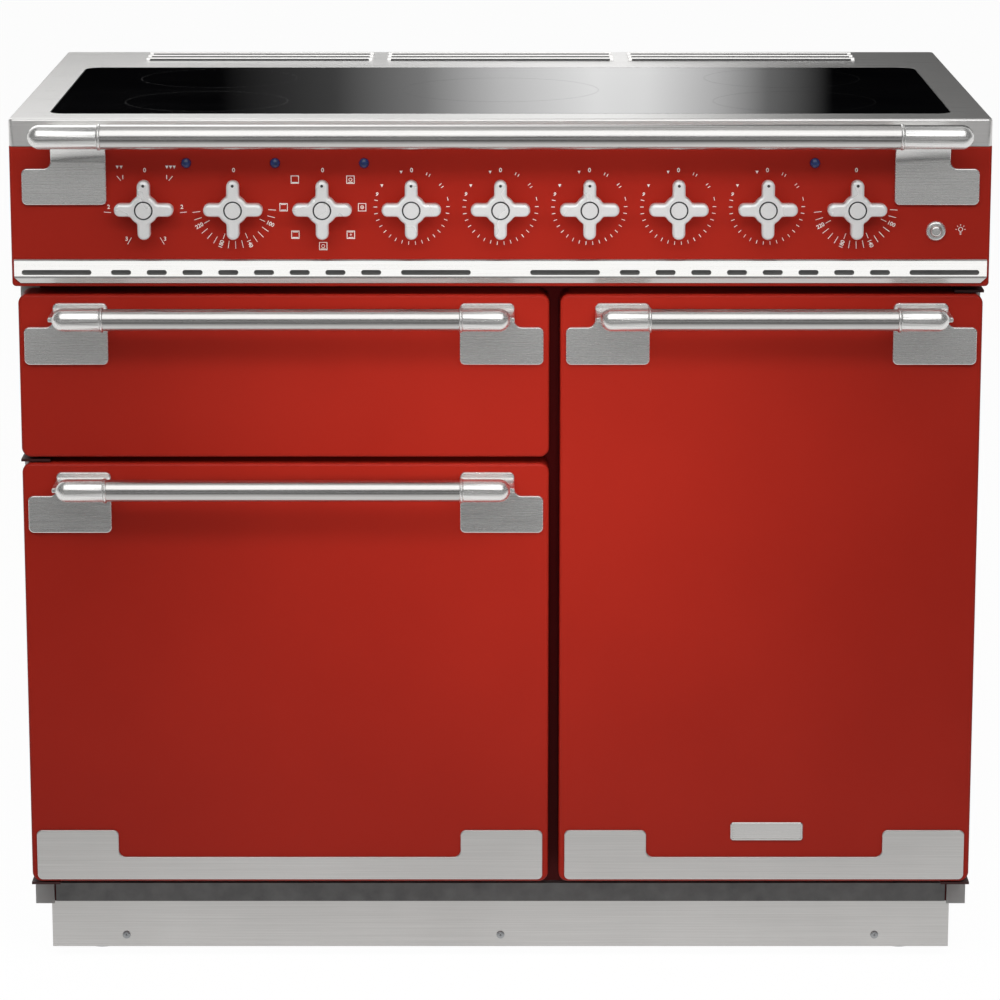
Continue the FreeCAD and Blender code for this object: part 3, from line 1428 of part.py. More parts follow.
def make_shelf(name, cavity):
    """A wire shelf that lies on the middle pair of rungs."""
    middle, width, bottom, _, _ = CAVITIES[cavity]
    wire = S.shelf_wire
    rim = S.shelf_rim_wire
    number = ladder_count(cavity) // 2
    rung = bottom + S.ladder_margin + S.ladder_pitch * (number + half_step)
    z = rung + S.ladder_wire + rim
    half = width / 2 - S.ladder_wire * 2 - S.seat_gap - rim
    front = cavity_y + S.shelf_front_gap
    back = front + S.shelf_depth
    wires = []
    for side in (-1, 1):
        wires.append(rod(f"{name}_side_{side}", (middle + half * side, front, z), "y", rim,
                         back - front))
    for index, y in enumerate((front, back)):
        wires.append(rod(f"{name}_end_{index}", (middle - half, y, z), "x", rim, half * 2))
    for index in range(1, SHELF_BARS + 1):
        x = middle - half + half * 2 * index / (SHELF_BARS + 1)
        wires.append(rod(f"{name}_bar_{index}", (x, front, z), "y", wire, back - front))
    return fuse(name, wires)


def make_fan(cavity):
    """A centrifugal fan on its shaft: a disc with upright blades by a round pattern."""
    middle, width, bottom, height, depth = CAVITIES[cavity]
    rear = cavity_y + depth - S.fan_gap
    body = new_body(f"{cavity}_fan", (middle, rear, bottom + height / 2))
    disc = new_sketch(body, "disc", "XZ_Plane", 0)
    circle(disc, (0, 0), S.fan_radius)
    pad(body, disc, S.fan_disc, "disc_pad")
    blade = new_sketch(body, "blade", "XZ_Plane", -S.fan_disc)
    half = S.fan_blade_thickness / 2
    polygon(blade, [(-half, S.fan_radius - S.fan_blade_width), (half, S.fan_radius - S.fan_blade_width),
                    (half, S.fan_radius - half), (-half, S.fan_radius - half)])
    first = pad(body, blade, S.fan_depth - S.fan_disc, "blade_pad")
    doc.recompute()
    spin(body, [first], "Y_Axis", FAN_BLADES, "blades")
    doc.recompute()
    hub = new_sketch(body, "hub", "XZ_Plane", 0)
    circle(hub, (0, 0), S.fan_hub_radius)
    pad(body, hub, S.fan_depth / 2, "hub_pad")
    shaft = new_sketch(body, "shaft", "XZ_Plane", S.fan_gap + S.cavity_sheet + S.fan_motor_length / 2)
    circle(shaft, (0, 0), S.fan_shaft_radius)
    pad(body, shaft, S.fan_gap + S.cavity_sheet + S.fan_motor_length / 2, "shaft_pad")
    keep(body, f"{cavity}_fan")


def make_fan_motor(cavity):
    middle, _, bottom, height, depth = CAVITIES[cavity]
    rear = cavity_y + depth + S.cavity_sheet
    z = bottom + height / 2
    drum = rod(f"{cavity}_motor_drum", (middle, rear, z), "y", S.fan_motor_radius, S.fan_motor_length)
    bore = rod(f"{cavity}_motor_bore", (middle, rear - S.overrun, z), "y",
               S.fan_shaft_radius + S.fan_clearance,
               S.overrun + S.fan_motor_length / 2 + S.seat_gap)
    return cut(f"{cavity}_fan_motor", drum, bore)


def make_fan_cover(cavity):
    """A pressed cover on the rear wall, with a ring of slots in front of the fan."""
    middle, _, bottom, height, depth = CAVITIES[cavity]
    rear = cavity_y + depth
    body = new_body(f"{cavity}_fan_cover", (middle, rear, bottom + height / 2))
    half = (S.fan_cover_width / 2, S.fan_cover_height / 2)
    outline = new_sketch(body, "outline", "XZ_Plane", 0)
    rectangle(outline, (-half[0], -half[1]), half)
    pad(body, outline, S.fan_cover_depth, "block")
    inside = new_sketch(body, "inside", "XZ_Plane", -(S.fan_cover_depth - S.cavity_sheet))
    inner = (half[0] - S.cavity_sheet, half[1] - S.cavity_sheet)
    inner_low = (-inner[0], -inner[1])
    rectangle(inside, inner_low, inner)
    pocket(body, inside, S.fan_cover_depth, "hollow")
    fillet(body, upright_at("y", corner_spots(inner_low, inner)), S.cavity_corner - S.cavity_sheet,
           "inner_corners")
    outer = corner_spots((-half[0], -half[1]), half)
    fillet(body, upright_at("y", outer), S.cavity_corner, "corners")
    grille = new_sketch(body, "grille", "XZ_Plane", -(S.fan_cover_depth + S.overrun))
    low = S.fan_grille_inner_radius
    near = S.fan_grille_inner_slot / 2
    far = S.fan_grille_slot / 2
    polygon(grille, [(-near, low), (near, low), (far, S.fan_grille_radius), (-far, S.fan_grille_radius)])
    first = pocket(body, grille, S.cavity_sheet + S.overrun * 2, "grille_cut")
    spin(body, [first], "Y_Axis", GRILLE_SLOTS, "grille_cuts")
    doc.recompute()
    return body


def half_ring(name, centre, radius, wire, forward):
    """A U-bend: half a ring that opens to the rear, or forward."""
    item = doc.addObject("Part::Torus", name)
    item.setExpression("Radius1", formula(radius))
    item.setExpression("Radius2", formula(wire))
    item.Angle3 = HALF_TURN
    turn = 0 if forward else HALF_TURN
    item.Placement = FreeCAD.Placement(FreeCAD.Vector(), FreeCAD.Rotation(VECTORS["z"], turn))
    place(item, centre)
    return item


def make_grill_element():
    """A serpentine heating rod under the grill's roof, with its two tails through the rear."""
    middle, _, bottom, height, depth = CAVITIES["grill"]
    z = bottom + height - S.grill_element_drop
    pitch = S.grill_element_pitch
    wire = S.grill_element_wire
    back = cavity_y + depth
    front_turn = cavity_y + S.grill_element_margin + pitch / 2
    rear_turn = back - S.grill_element_margin - pitch / 2
    first = middle - pitch * ((ELEMENT_RUNS - 1) / 2)
    last = ELEMENT_RUNS - 1
    pieces = []
    for number in range(ELEMENT_RUNS):
        x = first + pitch * number
        run_end = back if number in (0, last) else rear_turn
        pieces.append(rod(f"grill_run_{number}", (x, front_turn, z), "y", wire, run_end - front_turn))
    for number in range(last):
        at_rear = number % 2 == 1
        turn_y = rear_turn if at_rear else front_turn
        spot = (first + pitch * (number + half_step), turn_y, z)
        pieces.append(half_ring(f"grill_bend_{number}", spot, pitch / 2, wire, at_rear))
    keep(fuse("grill_element", pieces), "grill_element")


def make_grill_pan():
    middle, width, bottom, _, _ = CAVITIES["grill"]
    low_z = bottom + S.grill_runner_height
    half = width / 2 - S.grill_pan_margin
    front = cavity_y + S.shelf_front_gap
    back = front + S.grill_pan_depth
    body = new_body("grill_pan")
    outline = new_sketch(body, "outline", "XY_Plane", low_z)
    rectangle(outline, (middle - half, front), (middle + half, back))
    pad(body, outline, S.grill_pan_height, "block")
    inside = new_sketch(body, "inside", "XY_Plane", low_z + S.grill_pan_height)
    wall = S.grill_pan_sheet
    low = (middle - half + wall, front + wall)
    high = (middle + half - wall, back - wall)
    rectangle(inside, low, high)
    pocket(body, inside, S.grill_pan_height - wall, "hollow")
    fillet(body, upright_at("z", corner_spots(low, high)), S.cavity_corner - wall, "inner_corners")
    outer = corner_spots((middle - half, front), (middle + half, back))
    fillet(body, upright_at("z", outer), S.cavity_corner, "corners")
    rims = new_sketch(body, "rims", "XY_Plane", low_z + S.grill_pan_height - S.grill_pan_sheet)
    for side in (-1, 1):
        edge = middle + half * side
        rectangle(rims, (edge, front + S.cavity_corner),
                  (edge + S.grill_pan_rim * side, back - S.cavity_corner))
    pad(body, rims, S.grill_pan_sheet, "rim_pad")
    keep(body, "grill_pan")


def add_pan_runners(body, low, high):
    """Ledges on the grill's side walls that carry the pan by its rim."""
    top = low[1] + S.grill_runner_height + S.grill_pan_height - S.grill_pan_sheet
    front = cavity_y + S.ladder_margin
    length = S.grill_cavity_depth - S.ladder_margin * 2
    ledges = new_sketch(body, "ledges", "XZ_Plane", front + length)
    wall = S.cavity_sheet / 2
    for outer, inner in ((low[0] - wall, low[0] + S.grill_runner_width),
                         (high[0] + wall, high[0] - S.grill_runner_width)):
        rectangle(ledges, (outer, top - S.grill_runner_ledge), (inner, top))
    pad(body, ledges, length, "ledge_pad")


# Plinth, feet and rollers

def make_plinth():
    body = new_body("plinth")
    half = S.hob_width / 2 - S.plinth_side_margin
    front = panel_y + S.plinth_setback
    section = new_sketch(body, "section", "XY_Plane", S.plinth_bottom)
    inner = half - S.steel
    polygon(section, [(-half, front), (half, front), (half, front + S.plinth_return),
                      (inner, front + S.plinth_return), (inner, front + S.steel),
                      (-inner, front + S.steel), (-inner, front + S.plinth_return),
                      (-half, front + S.plinth_return)])
    pad(body, section, S.plinth_top - S.plinth_bottom, "sheet_pad")
    holes = new_sketch(body, "screw_holes", "XZ_Plane", front - S.overrun)
    for x in plinth_screw_places():
        circle(holes, (x, S.plinth_screw_height), S.plinth_screw_shank + S.seat_gap)
    pocket(body, holes, S.steel + S.overrun * 2, "screw_hole_cuts")
    keep(body, "plinth")


def plinth_screw_places():
    reach = S.hob_width / 2 - S.plinth_side_margin - S.plinth_screw_inset
    return [reach * share for share in (-1, 0, 1)]


def foot_places():
    x = side_x - S.foot_side_margin
    return [(-x, panel_y + S.foot_setback), (x, panel_y + S.foot_setback)]


def make_feet():
    for number, (x, y) in enumerate(foot_places()):
        side = ("left", "right")[number]
        name = f"levelling_foot_{side}"
        body = new_body(name, (x, y, 0))
        disc = new_sketch(body, "disc", "XY_Plane", 0)
        circle(disc, (0, 0), S.foot_pad_radius)
        pad(body, disc, S.foot_pad_height, "disc_pad")
        nut = new_sketch(body, "nut", "XY_Plane", S.foot_pad_height)
        across = S.foot_nut_width / 2
        corner = across / math.cos(math.radians(HEX_STEP / 2))
        polygon(nut, [(corner, 0), (corner / 2, across), (-corner / 2, across), (-corner, 0),
                      (-corner / 2, -across), (corner / 2, -across)])
        pad(body, nut, S.foot_nut_height, "nut_pad")
        stem = new_sketch(body, "stem", "XY_Plane", S.foot_pad_height)
        circle(stem, (0, 0), S.foot_stem_radius)
        pad(body, stem, S.foot_stem_top - S.foot_pad_height, "stem_pad")
        keep(body, name)


def make_rollers():
    y = rear_y - S.roller_rear_margin
    z = S.roller_radius
    forks = []
    for number, side in enumerate((-1, 1)):
        x = (side_x - S.foot_side_margin) * side
        half = S.roller_width / 2
        name = ("roller_left", "roller_right")[number]
        body = new_body(name, (x, y, z))
        tread = new_sketch(body, "tread", "YZ_Plane", -half)
        circle(tread, (0, 0), S.roller_radius)
        circle(tread, (0, 0), S.roller_axle_radius + S.hinge_pin_clearance)
        pad(body, tread, S.roller_width, "tread_pad")

        def rim(edge):
            wide = isinstance(edge.Curve, Part.Circle)
            return wide and edge.Curve.Radius > amount(S.roller_radius) - NEAR

        fillet(body, rim, S.roller_edge, "rims")
        keep(body, name)
        gap = half + S.roller_side_gap
        outer = gap + S.roller_fork_sheet
        wide = S.roller_fork_width / 2
        top = S.carcass_bottom
        cheeks = [box(f"fork_{number}_{name_}", (x + low, y - wide, z - wide / 2),
                      (x + low + S.roller_fork_sheet, y + wide, top))
                  for name_, low in (("inner", -outer), ("outer", gap))]
        bridge = box(f"fork_{number}_bridge", (x - outer, y - wide, top - S.roller_fork_sheet),
                     (x + outer, y + wide, top))
        axle = rod(f"fork_{number}_axle", (x - outer, y, z), "x", S.roller_axle_radius, outer * 2)
        forks.append(fuse(f"roller_fork_{number}", cheeks + [bridge, axle]))
    keep(group("roller_forks", forks), "roller_forks")


KNOB_NAMES = ("grill_knob", "main_oven_heat_knob", "main_oven_mode_knob", "hob_knob_1", "hob_knob_2",
              "hob_knob_3", "hob_knob_4", "hob_knob_5", "tall_oven_heat_knob")

make_base_tray()
keep(group("side_panels", [make_side_panel("side_panel_left", -1),
                           make_side_panel("side_panel_right", 1)]), "side_panels")
make_front_frame()
make_back_panel()
make_terminal()
make_hob_trim()
make_glass()
make_hob_tray()
make_coils()
make_power_units()
make_panel()
make_lamps()
keep(group("control_switches", make_switches() + [make_light_button()]), "control_switches")
make_vent_strip()
make_rail()
for knob, place_x in zip(KNOB_NAMES, knob_places):
    make_knob(knob, place_x)
for cavity_name in CAVITIES:
    make_cavity(cavity_name)
keep(group("door_seals", [make_seal(f"{name}_seal", name) for name in CAVITIES]), "door_seals")
for door_name, cavity_name in (("main_door", "main_oven"), ("tall_door", "tall_oven"),
                               ("grill_door", "grill")):
    make_door_panel(door_name)
    make_door_liner(door_name, cavity_name)
    make_handle(door_name)
SIDE_DOORS = ("main_door", "tall_door")
OVENS = ("main_oven", "tall_oven")
for door_name in SIDE_DOORS:
    make_kick_trim(door_name)
keep(group("door_hinges", [plate for name in SIDE_DOORS for plate in make_side_hinges(name)]
           + make_grill_hinges()), "door_hinges")
for cavity_name in OVENS:
    make_fan(cavity_name)
keep(group("shelf_ladders", [frame for name in OVENS for frame in make_ladders(name)]),
     "shelf_ladders")
keep(group("fan_covers", [make_fan_cover(name) for name in OVENS]), "fan_covers")
keep(group("fan_motors", [make_fan_motor(name) for name in OVENS]), "fan_motors")
keep(group("oven_shelves", [make_shelf(f"{name}_shelf", name) for name in OVENS]), "oven_shelves")
make_grill_element()
make_grill_pan()
make_plinth()
make_feet()
make_rollers()

doc.recompute()
for item in doc.Objects:
    if "Invalid" in item.State or "Error" in item.State:
        raise ValueError(f"{item.Name} failed: {item.State}")
for item in NODES:
    if item.Shape.isNull() or not item.Shape.isValid() or not item.Shape.Solids:
        raise ValueError(f"{item.Label} has no valid solid")
    item.Shape.exportStep(f"parts/{item.Label}.step")
    print(item.Label, len(item.Shape.Solids), round(item.Shape.Volume))
print("pieces:", len(NODES))
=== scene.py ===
import math

import bmesh
import bpy
from mathutils import Matrix, Vector


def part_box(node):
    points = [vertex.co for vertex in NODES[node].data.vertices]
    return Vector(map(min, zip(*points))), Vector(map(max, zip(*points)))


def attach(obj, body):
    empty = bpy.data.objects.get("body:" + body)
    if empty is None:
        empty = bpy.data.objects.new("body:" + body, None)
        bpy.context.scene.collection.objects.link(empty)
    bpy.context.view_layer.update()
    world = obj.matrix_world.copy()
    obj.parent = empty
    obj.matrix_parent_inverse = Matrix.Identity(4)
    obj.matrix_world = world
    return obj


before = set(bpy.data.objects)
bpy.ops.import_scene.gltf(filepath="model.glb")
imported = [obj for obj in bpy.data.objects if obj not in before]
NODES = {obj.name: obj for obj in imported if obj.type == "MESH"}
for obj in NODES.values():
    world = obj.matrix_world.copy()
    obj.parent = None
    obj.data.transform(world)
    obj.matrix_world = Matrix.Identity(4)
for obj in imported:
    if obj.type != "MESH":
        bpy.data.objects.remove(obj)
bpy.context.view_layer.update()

# Places on the cooker, in metres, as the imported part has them
PANEL_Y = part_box("control_panel")[0][1]
DOOR_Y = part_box("main_door_panel")[0][1]
KNOB_Z = 0.820
KNOB_X = [0.09 * (number - 4) for number in range(9)]
TOP_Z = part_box("hob_glass")[1][2]
TRIM_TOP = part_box("hob_trim")[1][2] - 0.003
DUCT_LOW, DUCT_HIGH = 0.7452, 0.7622
LOUVRE_GAP, LOUVRE_STEP = 0.034, 0.0265
LOUVRE_MIDDLES, LOUVRE_HALF = (-0.272, 0.0, 0.272), 0.1235
LIP_LOW, LIP_HIGH, LIP_DEPTH = 0.0865, 0.0885, 0.0030
SCREW_HEAD, SMALL_SCREW_HEAD = 0.0042, 0.0035

# The camera that matches the photograph's view of the cooker
SENSOR_MM, LENS_MM = 36, 150.5
CAMERA_SPOT = (-0.0005, PANEL_Y - 4.2, 1.4504)
CAMERA_TILT = 0.2189
KNOBS = ("grill_knob", "main_oven_heat_knob", "main_oven_mode_knob", "hob_knob_1", "hob_knob_2",
         "hob_knob_3", "hob_knob_4", "hob_knob_5", "tall_oven_heat_knob")


# Materials

def new_material(name):
    material = bpy.data.materials.new(name)
    material.use_nodes = True
    tree = material.node_tree
    tree.nodes.clear()
    out = tree.nodes.new("ShaderNodeOutputMaterial")
    shader = tree.nodes.new("ShaderNodeBsdfPrincipled")
    tree.links.new(shader.outputs[0], out.inputs[0])
    return material, tree, shader


def node(tree, kind, **values):
    item = tree.nodes.new(kind)
    for key, value in values.items():
        setattr(item, key, value)
    return item


def object_coords(tree, scale):
    coords = node(tree, "ShaderNodeTexCoord")
    mapping = node(tree, "ShaderNodeMapping")
    mapping.inputs["Scale"].default_value = scale
    tree.links.new(coords.outputs["Object"], mapping.inputs["Vector"])
    return mapping.outputs["Vector"]


def noise(tree, scale, size=1.0, detail=4.0, rough=0.55):
    item = node(tree, "ShaderNodeTexNoise")
    item.inputs["Scale"].default_value = size
    item.inputs["Detail"].default_value = detail
    item.inputs["Roughness"].default_value = rough
    tree.links.new(object_coords(tree, scale), item.inputs["Vector"])
    return item.outputs["Fac"]


def remap(tree, source, low, high, start=0.3, end=0.7):
    item = node(tree, "ShaderNodeMapRange")
    item.inputs["From Min"].default_value = start
    item.inputs["From Max"].default_value = end
    item.inputs["To Min"].default_value = low
    item.inputs["To Max"].default_value = high
    tree.links.new(source, item.inputs["Value"])
    return item.outputs["Result"]


def two_tone(tree, source, dark, light, start=0.3, end=0.7):
    item = node(tree, "ShaderNodeValToRGB")
    item.color_ramp.elements[0].position = start
    item.color_ramp.elements[0].color = (*dark, 1)
    item.color_ramp.elements[1].position = end
    item.color_ramp.elements[1].color = (*light, 1)
    tree.links.new(source, item.inputs["Fac"])
    return item.outputs["Color"]


def bump(tree, shader, source, strength, distance):
    item = node(tree, "ShaderNodeBump")
    item.inputs["Strength"].default_value = strength
    item.inputs["Distance"].default_value = distance
    tree.links.new(source, item.inputs["Height"])
    tree.links.new(item.outputs["Normal"], shader.inputs["Normal"])


def brushed(name, dark, light, rough, stretch, strength=0.25, metallic=1.0):
    """Metal with fine parallel scratches; stretch is small along the scratches."""
    material, tree, shader = new_material(name)
    grain = noise(tree, stretch, 1.0, 6.0, 0.7)
    cloud = noise(tree, (6, 6, 6), 1.0, 3.0)
    mixed = node(tree, "ShaderNodeMix")
    mixed.inputs["Factor"].default_value = 0.3
    tree.links.new(grain, mixed.inputs["A"])
    tree.links.new(cloud, mixed.inputs["B"])
    colour = two_tone(tree, mixed.outputs["Result"], dark, light)
    tree.links.new(colour, shader.inputs["Base Color"])
    tree.links.new(remap(tree, grain, rough - 0.07, rough + 0.07), shader.inputs["Roughness"])
    shader.inputs["Metallic"].default_value = metallic
    bump(tree, shader, grain, strength, 0.00008)
    return material


def enamel(name, dark, light, rough, coat, orange_peel=0.06, gloss=0.4):
    """Vitreous enamel or paint: slightly uneven colour under a clear gloss."""
    material, tree, shader = new_material(name)
    cloud = noise(tree, (3, 3, 3), 1.0, 3.0)
    tree.links.new(two_tone(tree, cloud, dark, light), shader.inputs["Base Color"])
    fine = noise(tree, (90, 90, 90), 1.0, 2.0)
    tree.links.new(remap(tree, fine, rough - 0.03, rough + 0.05), shader.inputs["Roughness"])
    shader.inputs["Coat Weight"].default_value = coat
    shader.inputs["Coat Roughness"].default_value = 0.16
    shader.inputs["Specular IOR Level"].default_value = gloss
    bump(tree, shader, fine, orange_peel, 0.0004)
    return material


def speckled(name, dark, light, rough, size=400.0, metallic=0.0, strength=0.15):
    """Moulded plastic, rubber or cast metal with a fine grain."""
    material, tree, shader = new_material(name)
    grain = noise(tree, (size, size, size), 1.0, 3.0)
    cloud = noise(tree, (12, 12, 12), 1.0, 3.0)
    mixed = node(tree, "ShaderNodeMix")
    mixed.inputs["Factor"].default_value = 0.5
    tree.links.new(grain, mixed.inputs["A"])
    tree.links.new(cloud, mixed.inputs["B"])
    colour = two_tone(tree, mixed.outputs["Result"], dark, light)
    tree.links.new(colour, shader.inputs["Base Color"])
    tree.links.new(remap(tree, cloud, rough - 0.06, rough + 0.06), shader.inputs["Roughness"])
    shader.inputs["Metallic"].default_value = metallic
    bump(tree, shader, grain, strength, 0.0001)
    return material


RED = enamel("red_enamel", (0.335, 0.0162, 0.0084), (0.385, 0.0200, 0.0105), 0.38, 0.06, 0.05, 0.11)
# front frame: red enamel darkened nearly to black, painted shade for the gaps round the doors
FRAME_RED_SHADED = enamel("frame_enamel_shaded", (0.045, 0.002, 0.002), (0.065, 0.003, 0.003), 0.5, 0.05, 0.05,
                   0.1)
DARK_ENAMEL = enamel("dark_enamel", (0.012, 0.012, 0.014), (0.022, 0.021, 0.024), 0.3, 0.6)
GREY_PAINT = enamel("grey_paint", (0.36, 0.36, 0.355), (0.42, 0.42, 0.415), 0.42, 0.2)
STEEL_X = brushed("brushed_steel", (0.55, 0.54, 0.525), (0.74, 0.73, 0.715), 0.36, (5, 900, 900),
                  0.25, 0.85)
STEEL_HOB = brushed("brushed_hob_steel", (0.78, 0.77, 0.755), (0.92, 0.91, 0.895), 0.32,
                    (4, 700, 900), 0.25, 0.8)
STEEL_PLATE = brushed("satin_steel", (0.86, 0.855, 0.84), (0.94, 0.935, 0.92), 0.26, (14, 900, 900),
                      0.08, 0.9)
STEEL_ROUND = brushed("polished_steel", (0.60, 0.59, 0.575), (0.76, 0.75, 0.735), 0.24,
                      (7, 1200, 1200), 0.15)
NICKEL = speckled("satin_nickel", (0.84, 0.835, 0.83), (0.92, 0.915, 0.91), 0.27, 900, 0.38, 0.1)
# steel for the base lip, darker than zinc: painted shade for the recess under the doors
BASE_STEEL_SHADED = speckled("base_steel_shaded", (0.10, 0.10, 0.10), (0.18, 0.18, 0.178), 0.5, 60, 0.8, 0.1)


def crowned_strip():
    """Brushed steel on a strip that is pressed slightly round between its long edges."""
    material, tree, shader = new_material("crowned_steel")
    coords = node(tree, "ShaderNodeTexCoord")
    parts = node(tree, "ShaderNodeSeparateXYZ")
    tree.links.new(coords.outputs["Object"], parts.inputs[0])
    low, high = (corner[2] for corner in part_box("vent_strip"))
    across = remap(tree, parts.outputs["Z"], 0.0, 1.0, low, high)
    arch = node(tree, "ShaderNodeFloatCurve")
    curve = arch.mapping.curves[0]
    curve.points[0].location = (0.0, 0.53)
    curve.points[1].location = (1.0, 0.20)
    for spot in ((0.24, 0.61), (0.29, 0.61), (0.94, 0.28)):
        curve.points.new(*spot)
    for point in curve.points:
        point.handle_type = "VECTOR"
    arch.mapping.update()
    tree.links.new(across, arch.inputs["Value"])
    grain = noise(tree, (5, 900, 900), 1.0, 6.0, 0.7)
    tree.links.new(two_tone(tree, grain, (0.63, 0.625, 0.61), (0.79, 0.785, 0.77)),
                   shader.inputs["Base Color"])
    tree.links.new(remap(tree, grain, 0.24, 0.34), shader.inputs["Roughness"])
    shader.inputs["Metallic"].default_value = 1.0
    bump(tree, shader, arch.outputs["Value"], 1.0, 0.02)
    return material


STEEL_STRIP = crowned_strip()
ZINC = speckled("zinc_sheet", (0.30, 0.31, 0.32), (0.50, 0.51, 0.52), 0.45, 60, 1.0, 0.1)
# door hinges in a near-black red: painted shade, so that they sink into the shaded gaps beside the
# doors
HINGE_SHADED = speckled("hinge_steel_shaded", (0.030, 0.004, 0.004), (0.050, 0.006, 0.006), 0.5, 60, 0.2, 0.1)
WIRE = speckled("bright_wire", (0.55, 0.55, 0.56), (0.70, 0.70, 0.71), 0.2, 300, 1.0, 0.05)
HEATER = speckled("heater_steel", (0.05, 0.045, 0.04), (0.12, 0.11, 0.10), 0.5, 200, 1.0, 0.2)
GREY_RUBBER = speckled("grey_rubber", (0.045, 0.045, 0.05), (0.07, 0.07, 0.075), 0.6)
BLACK_RUBBER = speckled("black_rubber", (0.018, 0.018, 0.018), (0.035, 0.035, 0.035), 0.65)
BLACK_PLASTIC = speckled("black_plastic", (0.02, 0.02, 0.022), (0.035, 0.035, 0.038), 0.45)
WHITE_PLASTIC = speckled("white_plastic", (0.50, 0.50, 0.48), (0.62, 0.62, 0.60), 0.4)
COPPER = brushed("copper_winding", (0.42, 0.16, 0.07), (0.62, 0.28, 0.14), 0.35, (300, 300, 40))


def make_glass():
    material, tree, shader = new_material("black_glass")
    cloud = noise(tree, (8, 8, 8), 1.0, 2.0)
    tree.links.new(two_tone(tree, cloud, (0.004, 0.004, 0.005), (0.007, 0.007, 0.008)),
                   shader.inputs["Base Color"])
    smear = noise(tree, (3, 12, 3), 1.0, 4.0)
    tree.links.new(remap(tree, smear, 0.03, 0.07), shader.inputs["Roughness"])
    shader.inputs["Specular IOR Level"].default_value = 0.5
    return material


def make_lens():
    material, tree, shader = new_material("blue_lens")
    cloud = noise(tree, (150, 150, 150), 1.0, 2.0)
    tree.links.new(two_tone(tree, cloud, (0.004, 0.018, 0.10), (0.008, 0.04, 0.20)),
                   shader.inputs["Base Color"])
    shader.inputs["Roughness"].default_value = 0.08
    shader.inputs["Coat Weight"].default_value = 0.8
    return material


def make_print():
    material, tree, shader = new_material("print_white")
    cloud = noise(tree, (200, 200, 200), 1.0, 2.0)
    tree.links.new(two_tone(tree, cloud, (0.84, 0.80, 0.73), (0.90, 0.87, 0.81)),
                   shader.inputs["Base Color"])
    shader.inputs["Roughness"].default_value = 0.4
    return material


GLASS = make_glass()
LENS = make_lens()
PRINT = make_print()

LOOKS = {
    RED: ("control_panel", "main_door_panel", "tall_door_panel", "grill_door_panel"),
    FRAME_RED_SHADED: ("front_frame",),
    DARK_ENAMEL: ("main_oven_cavity", "tall_oven_cavity", "grill_cavity", "fan_covers",
                  "grill_pan", "main_door_liner", "tall_door_liner", "grill_door_liner"),
    GREY_PAINT: ("side_panels",),
    STEEL_HOB: ("hob_trim",),
    STEEL_X: ("plinth", "main_kick_trim", "tall_kick_trim"),
    STEEL_STRIP: ("vent_strip",),
    STEEL_ROUND: ("rail_tube", "main_handle_tube", "tall_handle_tube", "grill_handle_tube"),
    STEEL_PLATE: ("light_button", "light_button_bezel", "rail_brackets", "main_handle_brackets",
                  "tall_handle_brackets", "grill_handle_brackets"),
    NICKEL: KNOBS,
    ZINC: ("back_panel", "base_tray", "hob_tray", "fan_motors", "roller_forks",
           "levelling_foot_left", "levelling_foot_right"),
    HINGE_SHADED: ("door_hinges",),
    WIRE: ("shelf_ladders", "oven_shelves", "main_oven_fan", "tall_oven_fan"),
    HEATER: ("grill_element",),
    GREY_RUBBER: ("door_seals",),
    BLACK_RUBBER: ("roller_left", "roller_right"),
    BLACK_PLASTIC: ("power_units",),
    WHITE_PLASTIC: ("control_switches", "terminal_box"),
    COPPER: ("induction_coils",),
    GLASS: ("hob_glass",),
    LENS: ("indicator_lamps",),
}
for material, names in LOOKS.items():
    for name in names:
        item = NODES[name]
        item.data.materials.clear()
        item.data.materials.append(material)


# Softened edges on the CAD pieces, as modifiers

EDGES = {0.0012: ("main_handle_brackets", "tall_handle_brackets", "grill_handle_brackets",
                  "rail_brackets", "main_kick_trim", "tall_kick_trim"),
         0.0004: ("hob_trim", "control_panel", "main_door_panel", "tall_door_panel",
                  "grill_door_panel", "side_panels", "light_button", "light_button_bezel")}


def soften(name, width):
    item = NODES[name]
    weld = item.modifiers.new("Weld", "WELD")
    weld.merge_threshold = 0.00001
    if width > 0.001:
        flat = item.modifiers.new("Flat", "DECIMATE")
        flat.decimate_type = "DISSOLVE"
        flat.angle_limit = math.radians(0.5)
    bevel = item.modifiers.new("Bevel", "BEVEL")
    bevel.width = width
    bevel.segments = 2
    bevel.limit_method = "ANGLE"
    bevel.angle_limit = math.radians(40)
    bevel.harden_normals = True
    bevel.use_clamp_overlap = width < 0.001


for width, names in EDGES.items():
    for name in names:
        soften(name, width)


# Ways to build the extra pieces

def finish_mesh(name, mesh, material, body):
    item = bpy.data.objects.new(name, mesh)
    bpy.context.scene.collection.objects.link(item)
    mesh.materials.append(material)
    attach(item, body)
    return item


def circle(radius, count):
    return [(radius * math.cos(2 * math.pi * n / count), radius * math.sin(2 * math.pi * n / count))
            for n in range(count)]


def bridge(work, first, second):
    """Side faces between two loops of as many corners."""
    count = len(first)
    for number in range(count):
        after = (number + 1) % count
        work.faces.new((first[number], first[after], second[after], second[number]))


def close_mesh(work, mesh):
    bmesh.ops.recalc_face_normals(work, faces=work.faces)
    work.to_mesh(mesh)
    work.free()


def bars_mesh(name, shapes, y_front, y_back):
    """Flat prisms from outlines in X and Z, all in one mesh."""
    mesh = bpy.data.meshes.new(name)
    work = bmesh.new()
    for outline in shapes:
        front = [work.verts.new((x, y_front, z)) for x, z in outline]
        back = [work.verts.new((x, y_back, z)) for x, z in outline]
        count = len(outline)
        work.faces.new(front)
        work.faces.new(list(reversed(back)))
        for number in range(count):
            after = (number + 1) % count
            work.faces.new((front[number], back[number], back[after], front[after]))
    close_mesh(work, mesh)
    return mesh


def around(centre, radius, angle):
    """A spot at a radius and an angle clockwise from the top, seen from the front."""
    turn = math.radians(angle)
    return centre[0] + radius * math.sin(turn), centre[1] + radius * math.cos(turn)


